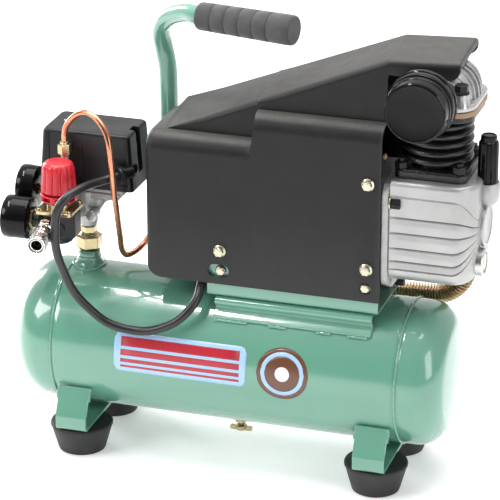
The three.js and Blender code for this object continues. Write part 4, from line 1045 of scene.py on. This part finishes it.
def switch():
    hood = tapered_box(-206, -113, -17, 41, 276, 335, 5)
    made = piece("switch_hood", hood, COVER, replaces="switch_cover", bevel=0.35)
    hollow = tapered_box(-203.6, -115.4, -14.6, 38.6, 270, 332, 4)
    lever_slot = box(-120, -100, 4, 16, 290, 340)
    lead_hole = rod(6.6, 40, LEAD_EXIT + LEAD_DIRECTION * 20, -LEAD_DIRECTION)
    panel = box(-162, -114, -30, -17.7, 282, 311)
    grooves = [box(-198.6, -197.6, -30, -17, 274, 334), box(-162.8, -162, -30, -17.2, 282, 331)]
    carve(made, hollow, lever_slot, lead_hole, panel, *grooves)
    x, y = UNLOADER
    base = [
        box(-202, -120, -13.5, 37.5, 270.3, 276),
        box(-200, -122, -12, 36, 275.5, 288),
        box(-190, -130, -6, 30, 287.5, 306),
        along("z", rounded(x - 5, x + 5, -30.5, 0, 3), 270.3, 275.7),
        rod(4, 40.5, (x, y, 272), Z),
    ]
    piece("switch_chassis", merged(*base), GREY_CAST, replaces="switch_base", bevel=0.8)
    nut = merged(hexagon(12.5, 11, (x, y, 313.5), Z, 1.2), rod(4.6, 14.5, (x, y, 312.5), Z))
    piece("unloader_hex", nut, BRASS, replaces="unloader_nut", bevel=0.25)
    pan_screw("hood_screw", (-190, 12, 335), Z, STEEL, 3, 1.0)
    corners = ((-135, 313), (-118, 313), (-115.2, 314.5), (-115.2, 318.4), (-118, 319), (-135, 319))
    tip = filleted([(x, z, 1) for x, z in corners])
    piece("auto_off_tip", along("y", tip, 10, 14), RED, "auto_off_lever",
          replaces="auto_off_lever", bevel=0.5)
    gland = [(4.8, -5), (6.2, -5), (6.2, 6)]
    for i in range(3):
        gland += [(r, 6.6 + 1.2 * i + h) for r, h in ((8.6, 0), (9, 0.3), (9, 0.8), (8, 1.0))]
    gland += [(7.5, 12), (4.8, 12), (4.8, -5)]
    piece("lead_gland", turned(gland, LEAD_EXIT, LEAD_DIRECTION, 32), COVER,
          replaces="cable_gland", bevel=0.15)


# ---------------------------------------------------------------- pipes
UNLOADER_POINTS = [
    (*UNLOADER, 326), (*UNLOADER, 335), (-175, -28, 344), (-168.5, -30, 353), (-160, -32.5, 360),
    (-150, -35.5, 363), (-141, -38.5, 361), (-132, -42, 354), (-126, -45, 346), (-122.6, -47.5, 337),
    (-120.8, -48, 318), (-120.2, -46, 303), (-120.8, -41, 286), (-122.3, -31, 264), (-126, -11, 224),
    (-127, -3, 206), (-124.5, 3, 198.5), (-118.8, 12, 199.3), (-113.6, 25, 203.5), (-114, 42, 205),
    (-114, 60, 201), (-109, 76, 193), (-95, 81.5, 185), (-75, 76, 177), (-58, 67, 171), (-48, 65, 170),
    (-39.3, 65, 170),
]
DELIVERY_POINTS = [
    (PUMP_X, 42.5, PORT_Z), (PUMP_X, 49, PORT_Z), (203, 58, 416), (206, 67, 403), (209, 69, 380),
    (211, 70, 330), (217, 70, 265), (221, 68, 215), (215, 66, 188), (199, 65, 173), (178, 65, 170),
    (100, 65, 170), (-4.7, 65, 170),
]


def wound_fin(path, start, end, pitch, steps=18):
    """A thin fin wound as a helix along the path, bare for start and end millimetres."""
    lengths = [0.0]
    for a, b in zip(path, path[1:]):
        lengths.append(lengths[-1] + (b - a).length)
    u, _ = side_axes((path[1] - path[0]).normalized())
    rings, index = [], 0
    for s in range(int((lengths[-1] - start - end) / pitch * steps) + 1):
        reach = start + s * pitch / steps
        while lengths[index + 1] < reach:
            index += 1
            ahead = (path[min(index + 2, len(path) - 1)] - path[index]).normalized()
            u = (u - ahead * u.dot(ahead)).normalized()
        share = (reach - lengths[index]) / (lengths[index + 1] - lengths[index])
        centre = path[index].lerp(path[index + 1], share)
        ahead = (path[index + 1] - path[index]).normalized()
        side = (u - ahead * u.dot(ahead)).normalized()
        out = side * math.cos(TAU * s / steps) + ahead.cross(side) * math.sin(TAU * s / steps)
        corners = ((6.4, -0.35), (10.45, -0.22), (10.45, 0.22), (6.4, 0.35))
        rings.append([centre + out * r + ahead * h for r, h in corners])
    return loft(rings)


def pipes():
    piece("unloader_pipe", swept(route(UNLOADER_POINTS, 2), 3, 24), COPPER,
          replaces="unloader_tube")
    piece("delivery_core", swept(route(DELIVERY_POINTS, 3), 6.6, 24), TUBE_CORE,
          replaces="discharge_tube")
    piece("delivery_fin", wound_fin(route(DELIVERY_POINTS, 1), 16, 18, 3.2), OLD_BRASS, sharp=40)
    ends = [hexagon(19, 12, (PUMP_X, 42.6, PORT_Z), Y, 1.4), hexagon(19, 13, (-4.5, 65, 170), X, 1.4)]
    piece("delivery_nuts", merged(*ends), BRASS, bevel=0.3)
    root = Vector((CHECK_VALVE[0], 0, TANK_Z)) + CHECK_OUT * (TANK_R + 4)
    barrel = [(0, 0), (8.3, 0), (8.3, 3.6), (9.5, 4.6), (9.5, 29.4), (8.3, 30.4), (8.3, 34), (0, 34)]
    parts = [
        turned(barrel, (-39, 65, 170), X, 48),
        hexagon(15, 5, root + CHECK_OUT * 1.6, CHECK_OUT, 0.9),
        rod(6.6, 8, root, CHECK_OUT),
        hexagon(18, 9, (-31, 65, 170), X, 1.2),
    ]
    piece("check_valve_body", merged(*parts), BRASS, replaces="check_valve", bevel=0.3)
    seat = Vector((153, -20, 345.5))
    bleed = merged(hexagon(7, 4, seat, FRONT, 0.5), rod(2.4, 8, seat, FRONT, 20))
    piece("bleed_fitting", bleed, BRASS, bevel=0.2)


# ---------------------------------------------------------------- switch manifold, regulator and fittings
def union():
    seat = Vector((PORT_X, 0, TANK_TOP + 17))
    outer = 24 / math.sqrt(3)
    shoulders = ((0, -3.6), (1.1, -1.6), (2.4, 0), (14.2, 0), (15.4, -1.6), (16.6, -3.8))
    nut = [(outer + grow, h) for h, grow in shoulders]
    collar = [(0, 16), (9.6, 16), (9.6, 17.2), (8, 18.2), (0, 18.2)]
    piece("union_nut_body", merged(turned(nut, seat, Z, 6), turned(collar, seat, Z, 48)), BRASS,
          replaces="union_fitting", bevel=0.7)
    nipple = merged(hexagon(15, 7.4, seat + Z * 18, Z, 1), rod(5.2, 24, seat + Z * 2, Z))
    piece("union_nipple_body", nipple, BRASS, replaces="union_fitting", bevel=0.3)


def branch(start, end, r0, r1):
    """Round-ended arm of the casting, tapering from r0 to r1."""
    axis = Vector(end) - Vector(start)
    length = axis.length
    profile = [(0, -r0 * 0.7), (r0 * 0.7, -r0 * 0.5), (r0, 0), (r1, length), (r1 * 0.7, length + r1 * 0.5),
               (0, length + r1 * 0.7)]
    return turned(profile, start, axis, 32)


def manifold():
    trunk = [(0, 229), (8.6, 229), (9.4, 233), (10.6, 241), (16, 256), (16, 270), (0, 270)]
    port = [(7.4, 0), (7.4, 24), (9.5, 26), (9.5, 31), (0, 31), (0, 0)]
    shapes = [
        turned(trunk, (PORT_X, 0, 0), Z, 48),
        branch((-160, -2, 250), (-150, -4, 262), 10, 8),
        branch((-150, 0, 262), (-134, 2, 266), 8, 5),
        rod(8.4, 27, (-169, -2, 249), (-0.15, -1, 0)),
        turned(port, (-164, -8, 264), LEFT, 32),
        rod(7, 22, (-164, 0, 254), Y),
        box(-196, -126, -14, 34, 263, 270),
    ]
    made = piece("manifold_casting", merged(*shapes), GREY_CAST, replaces="manifold",
                 sharp=60)
    fuse = made.modifiers.new("fuse", "REMESH")
    fuse.mode = "VOXEL"
    fuse.voxel_size = 0.9 * MM
    soften = made.modifiers.new("soften", "SMOOTH")
    soften.iterations = 5
    soften.factor = 0.6
    cap = Vector((-152, -22, 248))
    plug = merged(hexagon(11, 4, cap, FRONT), rod(5, 14, cap - FRONT * 13, FRONT, 24))
    piece("manifold_plug", plug, STEEL, bevel=0.3)


def octagon(centre, radius, z0, z1, chamfer):
    rings = []
    for z, shrink in ((z0, chamfer), (z0 + chamfer, 0), (z1 - chamfer, 0), (z1, chamfer)):
        ring = arc(*centre, radius - shrink, TAU / 16, TAU * 15 / 16, 7)
        rings.append([(x, y, z) for x, y in ring])
    return loft(rings)


def lock_ring(x, y):
    """Red ring with eight windows through its rim."""
    rim = [(7.4, 0), (18, 0), (18.5, 0.6), (18.5, 6.3), (17.8, 7), (7.4, 7), (7.4, 0)]
    made = piece("lock_ring", turned(rim, (x, y, 273.6), Z, 72), RED, "regulator_lock_ring",
                 replaces="regulator_lock_ring", bevel=0.35)
    for i in range(8):
        angle = TAU * (i + 0.5) / 8
        out = Vector((math.cos(angle), math.sin(angle), 0))
        across = Vector((-out.y, out.x, 0))
        low = [Vector((x, y, 277.1)) + out * 13.5 + across * s * 4.4 + Z * t * 2 for s, t in CORNERS]
        carve(made, loft([low, [p + out * 10 for p in low]]))


def knob(x, y):
    """Red knob with twelve flutes that fade out over its rounded top."""
    rings = []
    for h, radius, deep in (
        (0, 17.2, 0.2), (0.6, 18, 0.35), (2, 18, 1.1), (12, 17.4, 1.5), (22, 16.7, 1.5), (26, 16, 1.2),
        (28.6, 14.8, 0.7), (30, 13.2, 0.3), (30.9, 10.5, 0), (31.4, 6, 0),
    ):
        ring = []
        for i in range(144):
            angle = TAU * i / 144
            r = radius - deep * (1 - abs(math.sin(angle * 6)) ** 0.45)
            ring.append((x + r * math.cos(angle), y + r * math.sin(angle), 283.1 + h))
        rings.append(ring)
    stem = rod(7.6, 3, (x, y, 283.3), Z)
    piece("pressure_knob", merged(loft(rings), stem), RED, "regulator_knob",
          replaces="regulator_knob", sharp=36)


def regulator():
    x, y = REGULATOR
    stub = [(0, 10), (8.5, 10), (8.5, 30), (6, 31), (6, 33.6), (0, 33.6)]
    front = [(0, 10), (9.6, 10), (9.6, 21.2), (8.4, 22.2), (0, 22.2)]
    lower = [(0, 0), (12, 0), (14, 2), (16, 8), (0, 8)]
    shapes = [
        octagon(REGULATOR, 21.5, 236, 262.5, 1.6),
        turned(stub, (x, y, OUTLET_GAUGE[1]), LEFT, 40),
        turned(front, (x, y, 250), COUPLER_DIRECTION, 40),
        turned(lower, (x, y, 229), Z, 48),
    ]
    piece("regulator_case", merged(*shapes), COVER, replaces="regulator_body", bevel=0.5)
    plate = along("z", rounded(x - 19.5, x + 19.5, y - 19.5, y + 19.5, 4), 262, 265.5)
    piece("regulator_brass_plate", plate, BRASS, replaces="regulator_body", bevel=0.4)
    for i, (sx, sy) in enumerate(CORNERS):
        pan_screw(f"plate_screw_{i}", (x + sx * 15.4, y + sy * 15.4, 265.5), Z, BRASS, 3.2, 2.6)
    bonnet = [(0, 0), (12.4, 0), (12.4, 3), (12, 5), (7, 7.5), (7, 18), (0, 18)]
    piece("regulator_neck", turned(bonnet, (x, y, 265.5), Z, 48), BRASS,
          replaces="regulator_bonnet", bevel=0.3)
    lock_ring(x, y)
    knob(x, y)


def dial_direction(share):
    """From the dial's middle towards the scale: clockwise over three quarters of a turn, as it is read."""
    angle = math.radians(225 - 270 * share)
    return Vector((0, -math.cos(angle), math.sin(angle)))


def gauge_scale(name, face):
    marks = []
    for i in range(41):
        out = dial_direction(i / 40)
        across = LEFT.cross(out)
        inner, half = (13.2, 0.35) if i % 8 == 0 else (15, 0.16)
        corners = ((inner, -1), (17.2, -1), (17.2, 1), (inner, 1))
        outline = [face + out * r + across * s * half for r, s in corners]
        marks.append(loft([[p + LEFT * h for p in outline] for h in (-0.1, 0.12)]))
    piece(f"{name}_gauge_scale", merged(*marks), INK)
    for i in range(6):
        text = bpy.data.curves.new(f"{name}_gauge_number_{i}", "FONT")
        text.body = str(3 * i)
        text.size = 4.6 * MM
        text.extrude = 0.06 * MM
        text.align_x, text.align_y = "CENTER", "CENTER"
        text.materials.append(INK)
        made = show(bpy.data.objects.new(text.name, text))
        made.location = place(face + LEFT * 0.1 + dial_direction(i / 5) * 10.2)
        made.rotation_euler = (QUARTER, 0, -QUARTER)
        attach(made, "chassis")


def gauge(name, y, z, back):
    """Cased dial that faces left. Its rear wall lies back millimetres behind the usual place."""
    origin = Vector((GAUGE_X, y, z))
    case = [(0, -back), (19.6, -back), (20.9, 0.6 - back), (21.6, 2 - back), (21.6, 8.6), (22, 9.4),
            (22, 17.6), (21.5, 18.6), (20.6, 19), (19.9, 18.8), (19.6, 17.8), (19.5, 12.2), (19.5, 11),
            (0, 11)]
    dial = [(0, 11), (19.2, 11), (19.2, 12.4), (0, 12.4)]
    window = [(0, 16.9), (19.4, 16.9), (19.4, 18), (17, 18.3), (0, 18.6)]
    piece(f"{name}_gauge_cup", turned(case, origin, LEFT, 96), GLOSS,
          replaces=f"{name}_gauge", bevel=0.2)
    piece(f"{name}_gauge_dial", turned(dial, origin, LEFT, 72), DIAL)
    piece(f"{name}_gauge_window", turned(window, origin, LEFT, 72), WINDOW)
    gauge_scale(name, origin + LEFT * 12.4)
    centre = origin + LEFT * 14.4
    pointer = dial_direction(0)
    across = X.cross(pointer)
    outline = [centre + pointer * r + across * w
               for r, w in ((-6, 1.5), (-6, -1.5), (2, -0.9), (15, -0.25), (15, 0.25), (2, 0.9))]
    hand = loft([[p + X * h for p in outline] for h in (-0.35, 0.35)])
    hub = turned([(0, -0.8), (2.8, -0.8), (3, -0.5), (3, 0.6), (0, 0.6)], centre, X, 24)
    piece(f"{name}_gauge_hand", merged(hand, hub), INK, f"{name}_gauge_needle",
          replaces=f"{name}_gauge_needle", bevel=0.1)


def gauges():
    y, z = TANK_GAUGE
    gauge("tank", y, z, 0)
    gauge("outlet", *OUTLET_GAUGE, OUTLET_BACK)
    stem = merged(rod(4.5, 17, (GAUGE_X + 0.2, y, z - 2.5), X), hexagon(11, 6, (GAUGE_X + 1, y, z - 2.5), X))
    piece("tank_gauge_shank", stem, BRASS, replaces="tank_gauge", bevel=0.25)
    collar = hexagon(22, 3.4, (GAUGE_X + OUTLET_BACK + 0.3, *OUTLET_GAUGE), X)
    piece("outlet_gauge_collar", collar, BRASS, bevel=0.25)


def coupler():
    root, axis = COUPLER_ROOT, COUPLER_DIRECTION
    body = [(0, 0), (8, 0), (8, 10), (7, 11), (7, 43.4), (6.6, 44.2), (5.6, 44.2), (5.2, 43.4), (4.6, 36),
            (4.6, 22), (0, 22)]
    barrel = merged(turned(body, root, axis, 64), hexagon(16, 9, root + axis * 1.5, axis, 1.2))
    piece("coupler_barrel", barrel, CHROME, replaces="coupler_body", bevel=0.25)
    valve = [(0, 0), (4.3, 0), (4.3, 0.6), (1.6, 0.8), (1.4, 8), (0, 8.4)]
    piece("coupler_valve", turned(valve, root + axis * 22.3, axis, 32), INK)
    sleeve = [(7.4, 18), (9.2, 18), (9.4, 18.6), (9.4, 22.4), (8.3, 24), (8.3, 25.6), (9.5, 27.4),
              (9.5, 28.6), (8.6, 30), (8.6, 30.8), (9.9, 32.4)]
    for i in range(6):
        sleeve += [(r, 33 + 1.7 * i + h) for r, h in ((10, 0), (10, 1.1), (9.6, 1.3), (9.6, 1.5))]
    sleeve += [(10, 43.6), (9.7, 44.6), (9, 45.3), (7.8, 45.3), (7.4, 44.7), (7.4, 18)]
    piece("coupler_grip", turned(sleeve, root, axis, 72), CHROME, "coupler_sleeve",
          replaces="coupler_sleeve", bevel=0.15)


def safety_valve():
    origin = Vector((PORT_X, 22.3, 254))
    body = [(0, 0), (7.5, 0), (7.5, 7), (7.1, 7.6), (7.5, 8.2), (7.5, 16), (6.6, 17), (5, 17.4), (5, 24),
            (4, 24.6), (0, 24.6)]
    case = merged(turned(body, origin, Y, 40), hexagon(14.8, 6, origin + Y * 0.4, Y, 1))
    piece("safety_valve_case", case, BRASS, replaces="safety_valve_body", bevel=0.2)
    loop = [origin + Y * 36 + Vector((0, u, v)) for u, v in arc(0, 0, 6.9, 0, TAU, 48)]
    pull = merged(swept(loop, 1.1, 14), rod(1.5, 15.5, origin + Y * 14, Y, 20))
    piece("safety_valve_pull", pull, STEEL, "safety_valve_ring", replaces="safety_valve_ring")


switch()
pipes()
union()
manifold()
regulator()
gauges()
coupler()
safety_valve()


# ---------------------------------------------------------------- printed label on the tank
def film(name, x0, x1, edges, look, lift, columns):
    """Curved film from x0 to x1 on the tank. edges(x) gives its lower and upper heights along the skin."""
    rows = 14
    points, faces = [], []
    for i in range(columns + 1):
        x = x0 + (x1 - x0) * i / columns
        low, high = edges(x)
        points += [on_tank(x, low + (high - low) * j / rows, lift) for j in range(rows + 1)]
    for i in range(columns):
        for a in range(i * (rows + 1), i * (rows + 1) + rows):
            faces.append([a, a + 1, a + rows + 2, a + rows + 1])
    piece(name, (points, faces), look, sharp=60, wall=-0.06)


def disc_edges(centre_x, centre, radius):
    def edges(x):
        reach = math.sqrt(max(0.0, radius ** 2 - (x - centre_x) ** 2))
        return centre - reach, centre + reach

    return edges


def label():
    x0, x1, low, high, corner = -112, 28, -8, 34, 7

    def ground_edges(x):
        cut = drop(corner, min(corner, max(0.0, x0 + corner - x, x - (x1 - corner))))
        return low + cut, high - cut

    film("label_ground", x0, x1, ground_edges, LABEL_BLUE, 0.12, 60)
    for i, (middle, reach) in enumerate(((24, 5.0), (12.6, 3.2), (4.2, 2.0), (-2, 1.2))):
        stripe = (middle - reach, middle + reach)
        film(f"label_stripe_{i}", -105, 21, lambda x, s=stripe: s, LABEL_RED, 0.24, 8)
    centre_x, centre = 66, 11
    discs = ((27, LABEL_BROWN), (22.6, LABEL_BLUE), (18.4, LABEL_BROWN), (7.5, LABEL_WHITE))
    for i, (radius, look) in enumerate(discs):
        reach = radius - 0.02
        edges = disc_edges(centre_x, centre, radius)
        film(f"label_disc_{i}", centre_x - reach, centre_x + reach, edges, look, 0.24 + 0.08 * i, 28)


label()

# ---------------------------------------------------------------- CAD pieces that keep their shape
INNER_LOOKS = {
    "motor_stator": GREY_CAST, "motor_fan_end_bell": CAST, "motor_pump_end_bell": CAST, "rotor_shaft": STEEL,
    "cooling_fan": COVER, "run_capacitor": COVER, "main_bearing": STEEL, "crankshaft": STEEL,
    "connecting_rod": CAST, "piston": CAST, "filter_element": FILTER_FOAM,
}
for node, look in INNER_LOOKS.items():
    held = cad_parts[node]
    held.data.materials.clear()
    held.data.materials.append(look)


# ---------------------------------------------------------------- floor and soft studio light
def floor():
    mesh = bpy.data.meshes.new("floor")
    mesh.from_pydata([(-40, -40, 0), (40, -40, 0), (40, 40, 0), (-40, 40, 0)], [], [[0, 1, 2, 3]])
    ground = show(bpy.data.objects.new("floor", mesh))
    ground.location.z = CAD_BOX[0].z - 0.0003
    pale = Look("pale_floor", (0.86, 0.86, 0.86), 0.9)
    pale.mottle(3, 0.995, 1.0)
    pale.shader.inputs["Emission Color"].default_value = (1, 1, 1, 1)
    pale.shader.inputs["Emission Strength"].default_value = 0.3
    mesh.materials.append(pale.made)


def sky():
    """White to the camera. To the machine it is bright above and behind, and dark in front and below."""
    world = bpy.data.worlds.new("studio")
    bpy.context.scene.world = world
    world.use_nodes = True
    nodes, links = world.node_tree.nodes, world.node_tree.links
    direction = nodes.new("ShaderNodeTexCoord")
    rear = nodes.new("ShaderNodeVectorMath")
    rear.operation = "DOT_PRODUCT"
    rear.inputs[1].default_value = (-0.1, 0.62, 0.78)
    ramp = nodes.new("ShaderNodeMapRange")
    for key, number in (("From Min", -0.2), ("From Max", 0.8), ("To Min", 0.08), ("To Max", 0.95)):
        ramp.inputs[key].default_value = number
    links.new(direction.outputs["Generated"], rear.inputs[0])
    links.new(rear.outputs["Value"], ramp.inputs["Value"])
    seen = nodes.new("ShaderNodeLightPath")
    plain = nodes.new("ShaderNodeMix")
    plain.inputs["B"].default_value = 1.0
    links.new(seen.outputs["Is Camera Ray"], plain.inputs["Factor"])
    links.new(ramp.outputs["Result"], plain.inputs["A"])
    links.new(plain.outputs["Result"], nodes["Background"].inputs["Strength"])
    nodes["Background"].inputs["Color"].default_value = (1, 1, 1, 1)


def lamps():
    middle = place((0, 0, 240))
    for name, spot, size, power in (
        ("key", (-1500, -1300, 1500), (1.0, 0.9), 26),
        ("fill", (1800, -900, 900), (0.7, 1.3), 12),
        ("top", (200, 350, 2100), (1.6, 1.4), 34),
        ("back", (-2000, 1300, 700), (0.5, 1.5), 38),
        ("strip", (-560, -150, 1750), (0.9, 0.1), 13),
    ):
        lamp = bpy.data.lights.new(name, "AREA")
        lamp.shape = "RECTANGLE"
        lamp.size, lamp.size_y = size
        lamp.energy = power
        holder = show(bpy.data.objects.new(name, lamp))
        holder.location = place(spot)
        holder.rotation_mode = "QUATERNION"
        holder.rotation_quaternion = (middle - holder.location).to_track_quat("-Z", "Y")


floor()
sky()
lamps()
bpy.context.scene.view_settings.view_transform = "Standard"
